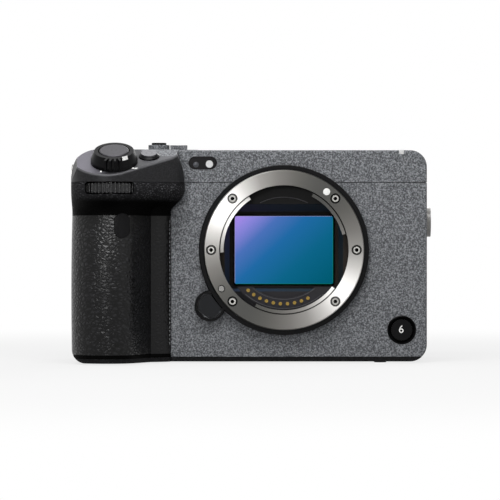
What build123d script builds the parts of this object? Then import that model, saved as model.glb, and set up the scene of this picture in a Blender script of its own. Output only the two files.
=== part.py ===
"""A compact full-frame cinema camera body, without a lens, modelled piece by piece in millimetres.

Frame: +X is to the right when the lens mount is seen from the front, the lens mount faces -Y, and +Z is up.
The origin is the mouth of the tripod socket in the base, which lies straight below the lens axis.
Every piece is written to parts/NAME.step.
"""
from build123d import *
from math import cos, radians, sin, tan
import os

# Body envelope
BODY_RIGHT = 51.1            # side away from the grip
BODY_LEFT = -75.1            # outer side of the grip
TOP_Z = 75.5                 # flat top
FRONT_Y = -22.0              # front cover's face
REAR_Y = 26.0                # rear cover's face
WALL = 1.8                   # wall of every cover
SEAM = 0.12                  # visible gap between two covers
FIT = 0.15                   # gap round a moving or inserted piece
CORNER_R = 6.0               # corners on the right side, seen from the front
GRIP_CORNER_R = 5.4          # lower corner of the grip
SHOULDER_R = 9.0             # upper corner of the body behind the grip
FRONT_EDGE_R = 0.7
BASE_T = 1.6                 # base plate
GRIP_RIM_Z = 2.8             # top of the plastic rim under the grip
TOP_SEAM_Z = 63.95           # split between top cover and front cover
SHELL_SPLIT_Y = 2.0          # split between front and rear covers
GRIP_EDGE_X = -40.5          # where the front cover ends and the grip begins

# Lens mount
LENS_Z = 39.8                # height of the lens axis
MOUNT_PROUD = 4.0            # flange plane in front of the front cover
THROAT_R = 23.05
FLANGE_R = 28.55
RING_T = 2.8
COLLAR_R = 30.3
COLLAR_DROP = 1.3            # collar's edge behind the flange plane
TAB_R = 21.5                 # inner radius of the bayonet tabs
TAB_T = 1.1
MOUNT_SCREW_R = 25.9         # radius of the screw circle
MOUNT_SCREW_ANGLES = (0, 45, 135, 180, 225, 315)
TAB_ARCS = ((123.2, 182.2), (14.6, 62.6), (243.0, 322.8))
FLANGE_FOCUS = 18.0          # flange to sensor plane

# Grip
NOSE_Y = -47.3               # front of the grip's head
SLOPE_DEG = 26.0             # tilt of the deck that carries the shutter button
SLOPE_START_Y = -28.2        # where the flat top turns down into that deck
SKIN_T = 1.0                 # rubber skin on the grip
GLUE = 0.06                  # glue line under and above the skin
HANDLE_TOP_Z = 52.0          # middle finger's hollow, where the rubber skin ends
NECK_TOP_Z = 62.4            # where the head has its full width
GRIP_SEAM_Z = 63.7           # split between grip shell and head
NOSE_SIDE_R = 13.6           # outer corner of the grip, seen from above
NOSE_R = 10.0                # inner corner of the grip, seen from above

# Shutter release and its lever
RELEASE_X = -59.6
RELEASE_Y = -38.4
RELEASE_R = 5.2
LEVER_R = 8.25
LEVER_TOP_R = 6.95
LEVER_H = 4.6
RELEASE_TRAVEL = 1.0
GRIP_BUTTON_X = -47.6
GRIP_BUTTON_Y = -33.7

# Dials
FRONT_DIAL_R = 8.9
FRONT_DIAL_H = 3.6
FRONT_DIAL_Z = 61.5
FRONT_DIAL_SUNK = 0.55       # rim behind the grip's foremost line
FRONT_SLOT_W = 17.1
REAR_DIAL_R = 9.0
REAR_DIAL_H = 3.4
REAR_DIAL_X = -63.0
REAR_DIAL_Z = 69.0
REAR_DIAL_PROUD = 1.6
DIAL_RIBS = 38
RIB_GROOVE_R = 0.55
DIAL_GAP = 0.38              # round a dial in its slot
WHEEL_FROM_MONITOR = 19.1    # control wheel's centre left of the monitor
WHEEL_Z = 30.0
WHEEL_R = 10.2
WHEEL_BUTTON_R = 4.0
WHEEL_NOTCHES = 36
WHEEL_PROUD = 1.5

# Buttons
BUTTON_TRAVEL = 0.6
REC_FRONT_X = 42.1
REC_FRONT_Z = 11.25
REC_FRONT_R = 3.75
REC_GUARD_R = 5.1
REC_GUARD_H = 0.8
REC_TOP_X = -46.1
REC_TOP_Y = 12.0
REC_TOP_R = 2.7
ISLAND_R = 3.9
ISLAND_H = 3.0
POWER_X = -37.3
POWER_TRAVEL = 3.0
JOYSTICK_FROM_MONITOR = 9.9
JOYSTICK_Z = 56.0
JOYSTICK_HOLE_R = 4.5
JOYSTICK_CAP_R = 3.6
JOYSTICK_CAP_LOW = 1.0       # underside of the cap behind the rear cover
JOYSTICK_CAP_T = 1.6
STEM_R = 1.4
STEM_L = 5.5
GIMBAL_R = 3.9
GIMBAL_BORE_R = 2.1
GIMBAL_T = 1.6
GIMBAL_DEPTH = 2.9           # middle of the gimbal in front of the rear cover's face
GIMBAL_PIN_R = 0.45
LUG_W = 3.0
LUG_L = 1.6

# Lens release
LENS_RELEASE_X = -26.35
LENS_RELEASE_DROP = 19.9     # below the lens axis
LENS_RELEASE_R = 4.6
LENS_RELEASE_GAP = 0.6       # gap round the button
LENS_RELEASE_RIM = 0.9       # rim round the gap
LOCK_PIN_ANGLE = 211.8
LOCK_PIN_R = 1.0
LOCK_PIN_CIRCLE = 26.1
LOCK_PIN_PROUD = 0.9
LOCK_TRAVEL = 1.6

# Sensor and shutter
SENSOR_W = 36.4
SENSOR_H = 25.4
SENSOR_SHIFT = 1.0
SENSOR_CORNER_R = 1.0
GATE_MARGIN_X = 1.4          # gate beyond the sensor at each side
GATE_MARGIN_Z = 1.2
LEAF_LAP = 0.6               # leaf's height over half the gate
LEAF_T = 0.25
LEAF_SIDE = 5.0              # leaf beyond the gate at each side
LEAF_REST = 0.4              # leaf's lower edge above the gate
LOW_LEAF_DEPTH = 1.25
HIGH_LEAF_DEPTH = 1.75
PLATE_T = 1.0
SHUTTER_T = 2.8
SHUTTER_RAIL_W = 2.0
CONTACT_R = 19.2
CONTACT_COUNT = 10
CONTACT_PITCH = 7.57
CONTACT_FIRST = -131.6
CONTACT_PIN_R = 0.62
CONTACT_PIN_PROUD = 0.5
CONTACT_BAND = 4.1           # width of the contact block's band
CONTACT_DROP = 13.2          # contact block's flat top below the lens axis

# Monitor
MONITOR_W = 71.0
MONITOR_LOW = 4.6
MONITOR_H = 57.4
MONITOR_T = 8.6
MONITOR_GAP = 1.4            # cooling gap between body and monitor
HINGE_X = 48.2
HINGE_BARREL_R = 2.9
ARM_L = 3.7                  # from the hinge pin to the monitor's edge

# Threads and openings
THREAD_R = 3.175             # 1/4 inch thread, modelled plain
INSERT_R = 4.6
INSERT_DEPTH = 6.0
LEFT_BOSS_X = -76.6
LEFT_BOSS_Y = -8.0
LEFT_BOSS_Z = 64.4
LEFT_BOSS_R = 6.35
RIGHT_BOSS_X = 53.1
RIGHT_BOSS_Y = -6.0
RIGHT_BOSS_Z = 49.9
RIGHT_BOSS_R = 5.3
TOP_THREADS = ((38.0, -9.0), (-22.0, -9.0))
SHOE_W = 21.6
SHOE_L = 18.6
SHOE_DEPTH = 4.2
SHOE_Y = 4.0
FOOT_H = 0.4

# Battery and doors
BATTERY = (21.5, 38.0, 50.5)
DOOR_T = 1.6
PIN_R = 0.4

FRONT_HOLE_R = 29.0          # front cover's hole round the mount

# Mount details
LAND_T = 1.4                 # plain land in front of the bayonet tabs
GROOVE_R = 24.3              # groove that a lens's tabs turn in
SEAT_BORE_R = 24.4
SCREW_HEAD_R = 1.9
SCREW_HEAD_H = 0.9
SCREW_SHANK_R = 0.8
SCREW_PLAY = 0.05
MOUNT_HEAD_R = 1.4
MOUNT_WELL_R = 1.82          # well round the head of a mount screw
MOUNT_HEAD_SUNK = 0.3
SOCKET_R = 0.75              # six-sided socket in a screw's head
SOCKET_SUNK = 0.5
TAB_GROOVE_W = 0.4           # groove between the land and a tab
TAB_GROOVE_T = 0.7
TAB_UNDERCUT = 0.4          # groove's reach under the land

# Grip details
GRIP_BEZEL_R = 3.65
GRIP_BEZEL_H = 0.9
GRIP_BUTTON_R = 2.75
BUTTON_WELL = 2.2            # depth of the well under a button
LEVER_GAP = 0.3
LEVER_RIBS = 4
LEVER_RIB_STEP = 11.5
FRONT_DIAL_X = -61.0
AXLE_R = 1.0
PLUG_X = -56.7
PLUG_Z = 48.4
PLUG_W = 5.2
PLUG_H = 8.6
PLUG_BACK_Y = -38.2

# Top details
POWER_TRACK_W = 6.4
POWER_TRACK_H = 1.2
POWER_SINK = 0.8
POWER_L = 6.2
POWER_TRACK_RIM = 1.0
POWER_TRACK_L = POWER_L + POWER_TRAVEL + 2 * FIT + 2 * POWER_TRACK_RIM
POWER_W = 3.4
POWER_TOP = 2.9
BUTTON_SINK = 2.0
WINDOW_X = -29.0
WINDOW_Z = 70.9
WINDOW_W = 10.1
WINDOW_H = 4.5
WINDOW_T = 1.2
LAMP_X = -26.6
LAMP_Z = 70.5
LAMP_R = 1.3
TALLY_X = 42.0
TALLY_W = 1.7
TALLY_H = 1.4
TALLY_L = 5.0
MIC_SLOTS = 5
MIC_X = 14.0
MIC_Y = -16.0
MIC_L = 6.0
MIC_PITCH = 1.8

# Rear details
WHEEL_SINK = 1.0
WHEEL_HUB_R = 3.0
REAR_BUTTON_R = 2.6
REAR_BUTTONS = {"menu_button": (6.1, 44.0), "view_button": (6.5, 16.5)}  # left of the monitor, height
THUMB_FROM_EDGE = 3.1        # thumb rest from the grip's side
THUMB_FROM_WHEEL = 4.2
THUMB_Z = 42.0
THUMB_H = 26.0
THUMB_PROUD = 2.4
VENT_SLOTS = 8
VENT_Z = 10.0
VENT_PITCH = 2.4
VENT_W = 16.0
MONITOR_PIN_R = 1.2
ARM_LOW = 22.0
ARM_HIGH = 46.0
BRACKET_LOW = 16.0
BRACKET_HIGH = 52.0
GLASS_T = 0.8
GLASS_RIM = 2.2

# Inside
MOUNT_SEAT_Y = -23.2         # where the mount ring seats on the chassis
CHASSIS_Y = -20.0
CHASSIS_T = 2.0
CHASSIS_LEFT = -38.5
CHASSIS_RIGHT = 45.0
CHASSIS_TOP_Z = 62.0
WEB_TOP_Z = 4.6
BOARD_POSTS = ((-35.0, 12.0), (41.0, 12.0), (-35.0, 57.0), (41.0, 57.0))
BOARD_Y = 1.0
BOARD_LOW = 9.0
BOARD_HIGH = 60.0
CONTACT_Y = -22.8
BAFFLE_Y = -19.9
BAFFLE_FLARE_X = 1.6         # baffle's mouth beyond the gate at each side
BAFFLE_FLARE_Z = 1.7
BAFFLE_RISE = 0.8            # mouth's middle above the lens axis
BAFFLE_PLATE_T = 1.8
BAFFLE_PLATE_RIM = 6.0
SHUTTER_Y = -13.8
PACKAGE_MARGIN_X = 2.3       # sensor's package beyond the sensor at each side
PACKAGE_MARGIN_Z = 2.8
PACKAGE_T = 2.2
STAGE_GAP = 0.3              # between the package and its stage
STAGE_RIM = 4.0
SENSOR_GLASS_T = 1.4
SENSOR_GLASS_EDGE = 0.45
BOARD_T = 1.2
CHIP_T = 0.8
CHIPS = ((-6.0, 10.0, 20.0, 36.0), (16.0, 28.0, 14.0, 30.0))  # low x, high x, low z, high z
POST_R = 2.0
SINK_LEFT = -20.0
SINK_RIGHT = 38.0
SINK_RIM = 4.0               # sink's lower edge above the board's
SINK_T = 1.5
SINK_GAP = 0.3               # thermal pad on the chips
FIN_COUNT = 16
FIN_T = 1.0
FIN_H = 7.0
FAN_X = 12.0
FAN_Z = 36.0
FAN_R = 11.0
FAN_H = 6.4
FAN_HUB_R = 4.2
FAN_SUNK = 2.0               # rotor in front of the sink's base
FAN_RING_H = 9.0
FAN_RING_W = 1.2
FAN_RING_GAP = 0.8
FAN_BLADES = 9
BLADE_T = 0.7
BLADE_W = 5.6
BLADE_TILT = 35.0
SOCKET_DEPTH = 9.0
JACK_R = 1.75
JACK_DEPTH = 4.0
CARD_UNIT_L = 22.0
CARD_SLOT_T = 2.2
CARD_SLOT_PITCH = 3.0
CARD_SLOT_DEPTH = 3.0
JACK_ZS = (54.0, 46.0)
PORTS = ((38.0, 9.0, 3.3), (24.0, 14.2, 3.8), (13.5, 5.0, 2.4))

# Battery, doors and base
BATTERY_X = -70.6
BATTERY_Y = -23.0
HOLDER_T = 0.8
HOLDER_ROOM = 2.2
KNUCKLE_R = 0.8
LATCH_L = 4.6
LATCH_W = 9.0
LATCH_T = 0.8
LATCH_TRAVEL = 2.0
SIDE_DOORS = {               # side, low y, high y, low z, high z
    "card_door": (-1, 9.0, 23.0, 20.0, 52.0),
    "port_door_upper": (1, 6.5, 22.0, 35.5, 60.0),
    "port_door_lower": (1, 6.5, 22.0, 9.0, 33.0),
}
FEET = ((-62.0, -31.0), (34.5, -17.5), (-62.0, 20.6), (34.5, 20.6))
FOOT_R = 2.2
BASE_SCREWS = ((-24.0, -14.0), (30.0, -14.0), (-24.0, 18.0), (30.0, 18.0))

FLANGE_Y = FRONT_Y - MOUNT_PROUD
SENSOR_Y = FLANGE_Y + FLANGE_FOCUS
SLOPE = tan(radians(SLOPE_DEG))
MONITOR_Y = REAR_Y + MONITOR_GAP
HINGE_Y = MONITOR_Y + HINGE_BARREL_R + 0.5
RELEASE_BACK_Y = FRONT_Y + WALL - 0.6
GATE_W = SENSOR_W + 2 * GATE_MARGIN_X
GATE_H = SENSOR_H + 2 * GATE_MARGIN_Z
LEAF_H = GATE_H / 2 + LEAF_LAP
PACKAGE_W = SENSOR_W + 2 * PACKAGE_MARGIN_X
PACKAGE_H = SENSOR_H + 2 * PACKAGE_MARGIN_Z
MONITOR_LEFT = HINGE_X - ARM_L - MONITOR_W
WHEEL_X = MONITOR_LEFT - WHEEL_FROM_MONITOR
JOYSTICK_X = MONITOR_LEFT - JOYSTICK_FROM_MONITOR
GIMBAL_Y = REAR_Y - GIMBAL_DEPTH
FAR = 90.0                   # beyond the body on every side, for cutting tools

# Plays, edges and other small sizes. A cut runs 1 mm past the face that it opens.
MAX_EDGE_INSET = 0.4         # most that the grip's inner edge moves for its skin
FLANK_BOW = 0.08             # rise of the grip's inner flank, as a share of its width
ROUND_END_FLAT = 0.01
PIN_PLAY = 0.05              # running play round an axle or a pin
LOCK_PIN_PLAY = 0.1
FLANGE_CHAMFER = 0.35
TAB_ROOT = 0.2               # tab's reach into the wall of the turning groove
COLLAR_CHAMFER = 0.3
HEAD_CHAMFER = 0.25          # edge of a mount screw's head
BASE_HEAD_SUNK = 0.1
MOUNT_SCREW_BITE = 2.5       # screw's length in the chassis
DIAL_CHAMFER = 0.4
RIB_GROOVE_OUT = 0.1         # groove's centre outside the rim
SLOT_CORNER_R = 1.2
FRONT_AXLE_DROP = 4.0        # axle's lower end under the dial's middle
REAR_EDGE_R = 1.2
THUMB_ROOT = 0.5
THUMB_EDGE_R = 1.0
PEDESTAL_RIM = 0.6           # step round the button's pedestal
PEDESTAL_ROOT = 0.5
PEDESTAL_H = 0.9
LEVER_BORE_GAP = 0.35        # dark ring between the lever and the button
LEVER_WALL_H = 1.1
LEVER_RIB = (0.7, 2.4)       # width and length of a finger rib
LEVER_RIB_SHIFT = 0.2
RELEASE_REST_GAP = 0.2
RELEASE_PROUD = 0.25
RELEASE_EDGE_R = 0.5
BEZEL_BEVEL_W = 0.6
BEZEL_BEVEL_H = 0.5
BEZEL_FLOOR = 0.4
GUARD_EDGE_W = 0.25
GUARD_EDGE_H = 0.15
BUTTON_REST_GAP = 0.2        # air under a button at rest, beyond its travel
GRIP_BUTTON_PROUD = 0.5
REC_TOP_PROUD = 0.8
REC_FRONT_PROUD = 0.3
REC_FRONT_ROOM = 0.6
REAR_BUTTON_PROUD = 0.9
REAR_BUTTON_CHAMFER = 0.25
WHEEL_BUTTON_GAP = 0.1
WHEEL_BUTTON_PROUD = 0.2
LOCK_PIN_ROOT = 0.4
RELEASE_FACE_SUNK = 0.2      # lens release's face behind the collar's
FRAME_BELOW_GATE = 4.0
FRAME_OVER_LEAF = 1.0
BAFFLE_BACK_GAP = 0.2
SEAT_STEP = 1.2              # chassis boss inside the front cover's hole
FAN_HUB_OVERLAP = 0.6
BATTERY_CORNER_R = 1.5
BATTERY_SLOTS = 3
BATTERY_SLOT_FROM = 6.0
BATTERY_SLOT_PITCH = 4.0
BATTERY_SLOT_W = 1.2
BATTERY_SLOT_DEPTH = 2.5
LATCH_FROM_EDGE = 3.0
LATCH_SUNK = 0.1
LATCH_GROOVES = 3
LATCH_GROOVE_FROM = 0.9
LATCH_GROOVE_PITCH = 1.2
LATCH_GROOVE_W = 0.5
LATCH_GROOVE_DEPTH = 0.35
DOOR_LIP = (1.0, 1.4)        # depth and width of a door's finger groove
DOOR_LIP_IN = 0.25
DOOR_LIP_FROM_EDGE = 2.0
UNIT_GAP = 0.3               # air round the units behind the doors
CARD_UNIT_GAP = 0.5
CARD_UNIT_RIM = 2.0
SOCKETS_RIM = 1.0
SOCKETS_FRONT_RIM = 2.0
SOCKETS_BACK_RIM = 0.8
WHEEL_CHAMFER = 0.4
WHEEL_NOTCH_R = 0.4
WHEEL_NOTCH_OUT = 0.1
GIMBAL_PIN_SHORT = 0.2
KNUCKLE_GAP = 0.3            # between the bracket's knuckles and the arm
ARM_T = 5.0
MONITOR_CORNER_R = 2.5
MONITOR_EDGE_R = 0.6
GLASS_CORNER_R = 1.2
WINDOW_PROUD = 0.05
LAMP_GAP = 0.03
LAMP_DEPTH = 0.8
LAMP_PROUD = 0.1
BAR_PROUD = 0.02
SHOE_BACK_GAP = 0.3
SHOE_FLOOR = 0.8
SHOE_WALL = 1.3
SHOE_LIP = 4.4
SHOE_LIP_T = 1.4
SHOE_SUNK = 0.2
TRIPOD_INSERT_EXTRA = 1.5
BOSS_INSERT_ROOT = 3.0
POWER_SLOT_CORNER_R = 0.8
POWER_TRACK_CORNER_R = 2.0


def block(x0, x1, y0, y1, z0, z1):
    """A box between two corners."""
    return Pos((x0 + x1) / 2, (y0 + y1) / 2, (z0 + z1) / 2) * Box(x1 - x0, y1 - y0, z1 - z0)


def along_x(sketch, x0, x1):
    """Fills a sketch drawn in Y and Z from x0 to x1."""
    return extrude(Plane((x0, 0, 0), x_dir=(0, 1, 0), z_dir=(1, 0, 0)) * sketch, x1 - x0)


def along_y(sketch, y0, y1):
    """Fills a sketch drawn in X and Z from y0 to y1."""
    return extrude(Plane((0, y1, 0), x_dir=(1, 0, 0), z_dir=(0, -1, 0)) * sketch, y1 - y0)


def along_z(sketch, z0, z1):
    """Fills a sketch drawn in X and Y from z0 to z1."""
    return extrude(Plane((0, 0, z0)) * sketch, z1 - z0)


def disc_y(x, z, radius, y0, y1):
    """A cylinder whose axis runs along Y."""
    return along_y(Pos(x, z) * Circle(radius), y0, y1)


def disc_z(x, y, radius, z0, z1):
    """A cylinder whose axis runs along Z."""
    return along_z(Pos(x, y) * Circle(radius), z0, z1)


def disc_x(y, z, radius, x0, x1):
    """A cylinder whose axis runs along X."""
    return along_x(Pos(y, z) * Circle(radius), x0, x1)


def lens_disc(radius, y0, y1):
    """A cylinder on the lens axis."""
    return disc_y(0, LENS_Z, radius, y0, y1)


def lens_ring(outer, inner, y0, y1):
    """A ring on the lens axis."""
    return lens_disc(outer, y0, y1) - lens_disc(inner, y0 - 1, y1 + 1)


def on_circle(radius, angle):
    """X and Z of a point round the lens axis, with 0 degrees to the right and 90 up."""
    return radius * cos(radians(angle)), LENS_Z + radius * sin(radians(angle))


def rounded(face, corner, radius):
    """Rounds the one corner of a flat face that is nearest to a point."""
    return fillet(face.vertices().sort_by_distance((corner[0], corner[1], 0))[0], radius)


def body_profile(inset=0.0):
    """The body's outline seen from the front, moved inwards by inset."""
    left, right, low, high = BODY_LEFT + inset, BODY_RIGHT - inset, inset, TOP_Z - inset
    face = Pos((left + right) / 2, (low + high) / 2) * Rectangle(right - left, high - low)
    face = rounded(face, (right, high), CORNER_R - inset)
    face = rounded(face, (right, low), CORNER_R - inset)
    face = rounded(face, (left, low), GRIP_CORNER_R - inset)
    return rounded(face, (left, high), SHOULDER_R - inset)


def deck_z(y):
    """Height of the sloping deck at a place along Y."""
    return TOP_Z - SLOPE * (SLOPE_START_Y - y)


def above_deck(drop=0.0):
    """Everything above the flat top and the sloping deck, lowered by drop."""
    front, back = -FAR, FAR
    top = 2 * FAR
    outline = Polyline((front, deck_z(front) - drop), (SLOPE_START_Y, TOP_Z - drop), (back, TOP_Z - drop),
                       (back, top), (front, top), close=True)
    return along_x(make_face(outline), -FAR, FAR)


def deck_plane(x, y, height=0.0):
    """A plane on the deck above (x, y), whose normal is the deck's own, raised by height."""
    normal = (0, -sin(radians(SLOPE_DEG)), cos(radians(SLOPE_DEG)))
    origin = Vector(x, y, deck_z(y)) + Vector(*normal) * height
    return Plane(origin, x_dir=(1, 0, 0), z_dir=normal)


def deck_disc(x, y, radius, low, high):
    """A cylinder that stands square on the deck between two heights over it."""
    return extrude(deck_plane(x, y, low) * Circle(radius), high - low)


# Plans of the grip: (nose y, turn of the nose in degrees, flank point, edge point)
HANDLE_FRONT = ((-43.4, 62.0), (-45.3, 62.0), (-46.2, 62.0), (-45.0, 60.0), (-41.4, 56.0))
HANDLE_FLANK = (-47.2, -27.8)
HANDLE_EDGE = (-40.5, -23.4)
HEAD_LOW = (NOSE_Y, 38.0, (-39.6, -34.2), (-35.4, -28.6))
HEAD_MIDDLE = (NOSE_Y + 0.1, 38.0, (-40.8, -35.4), (-36.5, -30.6))
HEAD_HIGH = (NOSE_Y + 0.3, 38.0, (-43.8, -37.4), (-39.4, -34.0))
HEAD_MIDDLE_Z = 70.3
# How far the neck has swollen to the head's plan, at each share of its height
NECK_SWELL = ((0.0, 0.0), (0.19, 0.05), (0.38, 0.36), (0.58, 0.76), (0.77, 0.95), (1.0, 1.0))
# The facet along the outer edge of the deck: two places (x, y) on the deck, and its foot on the side wall
CHEEK_BACK = (-73.1, -33.7)
CHEEK_FRONT = (-72.4, -42.0)
CHEEK_FOOT = (BODY_LEFT, -36.0, 64.0)
CHEEK_REACH = 20.0


def grip_wire(z, plan, inset):
    """One closed outline of the grip at its height, moved inwards by inset."""
    nose_y, turn, flank, edge = plan
    swing = radians(turn)
    left, back, nose = BODY_LEFT + inset, SHELL_SPLIT_Y - SEAM, nose_y + inset
    side_r, nose_r = NOSE_SIDE_R - inset, NOSE_R - inset
    middle = BODY_LEFT + NOSE_SIDE_R
    shoulder = Vector(left, nose + side_r, z)
    tip = Vector(middle, nose, z)
    turned = Vector(middle + nose_r * sin(swing), nose + nose_r * (1 - cos(swing)), z)
    half = swing / 2
    corner = side_r * (1 - cos(radians(45)))
    knee = Vector(flank[0] - inset * sin(swing), flank[1] + inset * cos(swing), z)
    rim = Vector(edge[0] - min(inset, MAX_EDGE_INSET), edge[1] + inset, z)
    bow = (rim - knee).length * FLANK_BOW
    across = (rim - knee).normalized()
    crown = (knee + rim) * 0.5 + Vector(across.Y, -across.X, 0) * bow
    return Wire([
        Line(Vector(left, back, z), shoulder),
        ThreePointArc(shoulder, Vector(left + corner, nose + corner, z), tip),
        ThreePointArc(tip, Vector(middle + nose_r * sin(half), nose + nose_r * (1 - cos(half)), z), turned),
        Line(turned, knee),
        ThreePointArc(knee, crown, rim),
        Line(rim, Vector(rim.X, back, z)),
        Line(Vector(rim.X, back, z), Vector(left, back, z)),
    ])


def mixed(low, high, share):
    """A plan of the grip part of the way from one plan to another."""
    flat_low = (low[0], low[1], *low[2], *low[3])
    flat_high = (high[0], high[1], *high[2], *high[3])
    nose_y, turn, *points = [a + (b - a) * share for a, b in zip(flat_low, flat_high)]
    return nose_y, turn, tuple(points[:2]), tuple(points[2:])


def handle_plan(step):
    """The plan of the handle at one of its even steps up from the base."""
    nose_y, turn = HANDLE_FRONT[step]
    return nose_y, turn, HANDLE_FLANK, HANDLE_EDGE


def handle(inset=0.0):
    """The part of the grip that the palm and three fingers hold."""
    last = len(HANDLE_FRONT) - 1
    wires = [grip_wire(HANDLE_TOP_Z * i / last, handle_plan(i), inset) for i in range(last + 1)]
    return Solid.make_loft(wires, False) & along_y(body_profile(), -FAR, FAR)


def clear_of_front(shape):
    """Takes away what would lie inside the front cover."""
    return shape - block(GRIP_EDGE_X, FAR, FRONT_Y - SEAM, FAR, -FAR, FAR)


def neck(inset=0.0):
    """The stretch where the grip swells out over the middle finger."""
    last = len(HANDLE_FRONT) - 1
    wires = []
    for rise, share in NECK_SWELL:
        z = HANDLE_TOP_Z + (NECK_TOP_Z - HANDLE_TOP_Z) * rise
        wires.append(grip_wire(z, mixed(handle_plan(last), HEAD_LOW, share), inset))
    return clear_of_front(Solid.make_loft(wires, False))


def head():
    """The top of the grip, under the sloping deck."""
    wires = [
        grip_wire(NECK_TOP_Z, HEAD_LOW, 0.0),
        grip_wire(HEAD_MIDDLE_Z, HEAD_MIDDLE, 0.0),
        grip_wire(TOP_Z + 1, HEAD_HIGH, 0.0),
    ]
    shape = Solid.make_loft(wires, False) & along_y(body_profile(), -FAR, FAR)
    return clear_of_front(shape - above_deck() - off_the_cheek())


def off_the_cheek():
    """What the facet along the outer edge of the deck takes off."""
    back = Vector(*CHEEK_BACK, deck_z(CHEEK_BACK[1]))
    front = Vector(*CHEEK_FRONT, deck_z(CHEEK_FRONT[1]))
    facet = Plane(back, z_dir=(Vector(*CHEEK_FOOT) - back).cross(front - back))
    side = 2 * CHEEK_REACH
    return facet * Pos(0, 0, CHEEK_REACH) * Box(side, side, side)


def shell_slice(y0, y1, inset=0.0):
    """The body's outline filled between two depths."""
    return along_y(body_profile(inset), y0, y1)


def stadium(x, z, width, height):
    """A slot outline with round ends."""
    return Pos(x, z) * RectangleRounded(width, height, min(width, height) / 2 - ROUND_END_FLAT)


def ported(shape, side, y0, y1, z0, z1):
    """Cuts the opening of a door in a side wall."""
    wall = BODY_RIGHT if side > 0 else BODY_LEFT
    inside, outside = sorted((wall - side * (WALL + 1), wall + side))
    return shape - block(inside, outside, y0, y1, z0, z1)


def boss_hole(side):
    """The space round a side boss."""
    if side > 0:
        return disc_x(RIGHT_BOSS_Y, RIGHT_BOSS_Z, RIGHT_BOSS_R + SEAM, BODY_RIGHT - WALL - 1, FAR)
    return disc_x(LEFT_BOSS_Y, LEFT_BOSS_Z, LEFT_BOSS_R + SEAM, -FAR, BODY_LEFT + INSERT_DEPTH)


def release_opening():
    """The round well that the lens release button is pressed into."""
    floor = RELEASE_BACK_Y + LOCK_TRAVEL + FIT
    return disc_y(LENS_RELEASE_X, LENS_Z - LENS_RELEASE_DROP, LENS_RELEASE_R, -FAR, floor)


def under_floor(y0, y1):
    """The sliver of floor that the base plate takes the place of."""
    return block(BODY_LEFT + CORNER_R, BODY_RIGHT - CORNER_R, y0, y1, -1, WALL + SEAM)


def make_front_cover():
    """The grey die-cast front, from under the top cover to the base plate."""
    shape = shell_slice(FRONT_Y, SHELL_SPLIT_Y - SEAM)
    shape = fillet(shape.faces().sort_by(Axis.Y)[0].edges(), FRONT_EDGE_R)
    shape -= shell_slice(FRONT_Y + WALL, SHELL_SPLIT_Y + 1, WALL)
    shape -= under_floor(FRONT_Y + WALL, SHELL_SPLIT_Y + 1)
    shape &= block(GRIP_EDGE_X + SEAM, FAR, -FAR, FAR, BASE_T + SEAM, TOP_SEAM_Z - SEAM)
    shape -= lens_disc(FRONT_HOLE_R, FRONT_Y - 1, FRONT_Y + WALL + 1)
    shape -= release_opening()
    shape -= disc_y(REC_FRONT_X, REC_FRONT_Z, REC_GUARD_R + SEAM, FRONT_Y - 1, FRONT_Y + WALL + 1)
    return shape - boss_hole(1)


def make_top_cover():
    """The grey top, with the raised island for the record button."""
    shape = shell_slice(FRONT_Y, REAR_Y)
    shape = fillet(shape.faces().sort_by(Axis.Y)[0].edges(), FRONT_EDGE_R)
    shape -= shell_slice(FRONT_Y + WALL, REAR_Y - WALL, WALL)
    shape &= block(-FAR, FAR, -FAR, FAR, TOP_SEAM_Z + SEAM, FAR)
    shape -= block(-FAR, GRIP_EDGE_X, -FAR, SHELL_SPLIT_Y, -FAR, FAR)
    island = disc_z(REC_TOP_X, REC_TOP_Y, ISLAND_R, TOP_Z - WALL, TOP_Z + ISLAND_H)
    outline = RectangleRounded(POWER_TRACK_L, POWER_TRACK_W, POWER_TRACK_CORNER_R)
    track = along_z(Pos(POWER_X, REC_TOP_Y) * outline, TOP_Z - WALL, TOP_Z + POWER_TRACK_H)
    shape += island + track
    shape -= disc_z(REC_TOP_X, REC_TOP_Y, REC_TOP_R + FIT, TOP_Z + ISLAND_H - BUTTON_SINK, FAR)
    slot = RectangleRounded(POWER_TRACK_L - 2 * POWER_TRACK_RIM, POWER_W + 4 * FIT, POWER_SLOT_CORNER_R)
    shape -= along_z(Pos(POWER_X, REC_TOP_Y) * slot, TOP_Z + POWER_TRACK_H - POWER_SINK, FAR)
    shape -= along_y(stadium(WINDOW_X, WINDOW_Z, WINDOW_W + 2 * SEAM, WINDOW_H + 2 * SEAM),
                     FRONT_Y - 1, FRONT_Y + WINDOW_T)
    shape -= tally_block(SEAM)
    shape -= lens_disc(FRONT_HOLE_R, FRONT_Y - 1, FRONT_Y + WALL + 1)
    shape -= rear_dial_space()
    shape -= block(-SHOE_W / 2, SHOE_W / 2, SHOE_Y - SHOE_L / 2, REAR_Y + 1, TOP_Z - SHOE_DEPTH, TOP_Z + 1)
    for x, y in TOP_THREADS:
        shape -= disc_z(x, y, INSERT_R + SEAM, TOP_Z - WALL - 1, TOP_Z + 1)
    for i in range(MIC_SLOTS):
        x = MIC_X + i * MIC_PITCH
        shape -= block(x, x + MIC_PITCH / 2, MIC_Y, MIC_Y + MIC_L, TOP_Z - WALL - 1, TOP_Z + 1)
    return shape


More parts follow.
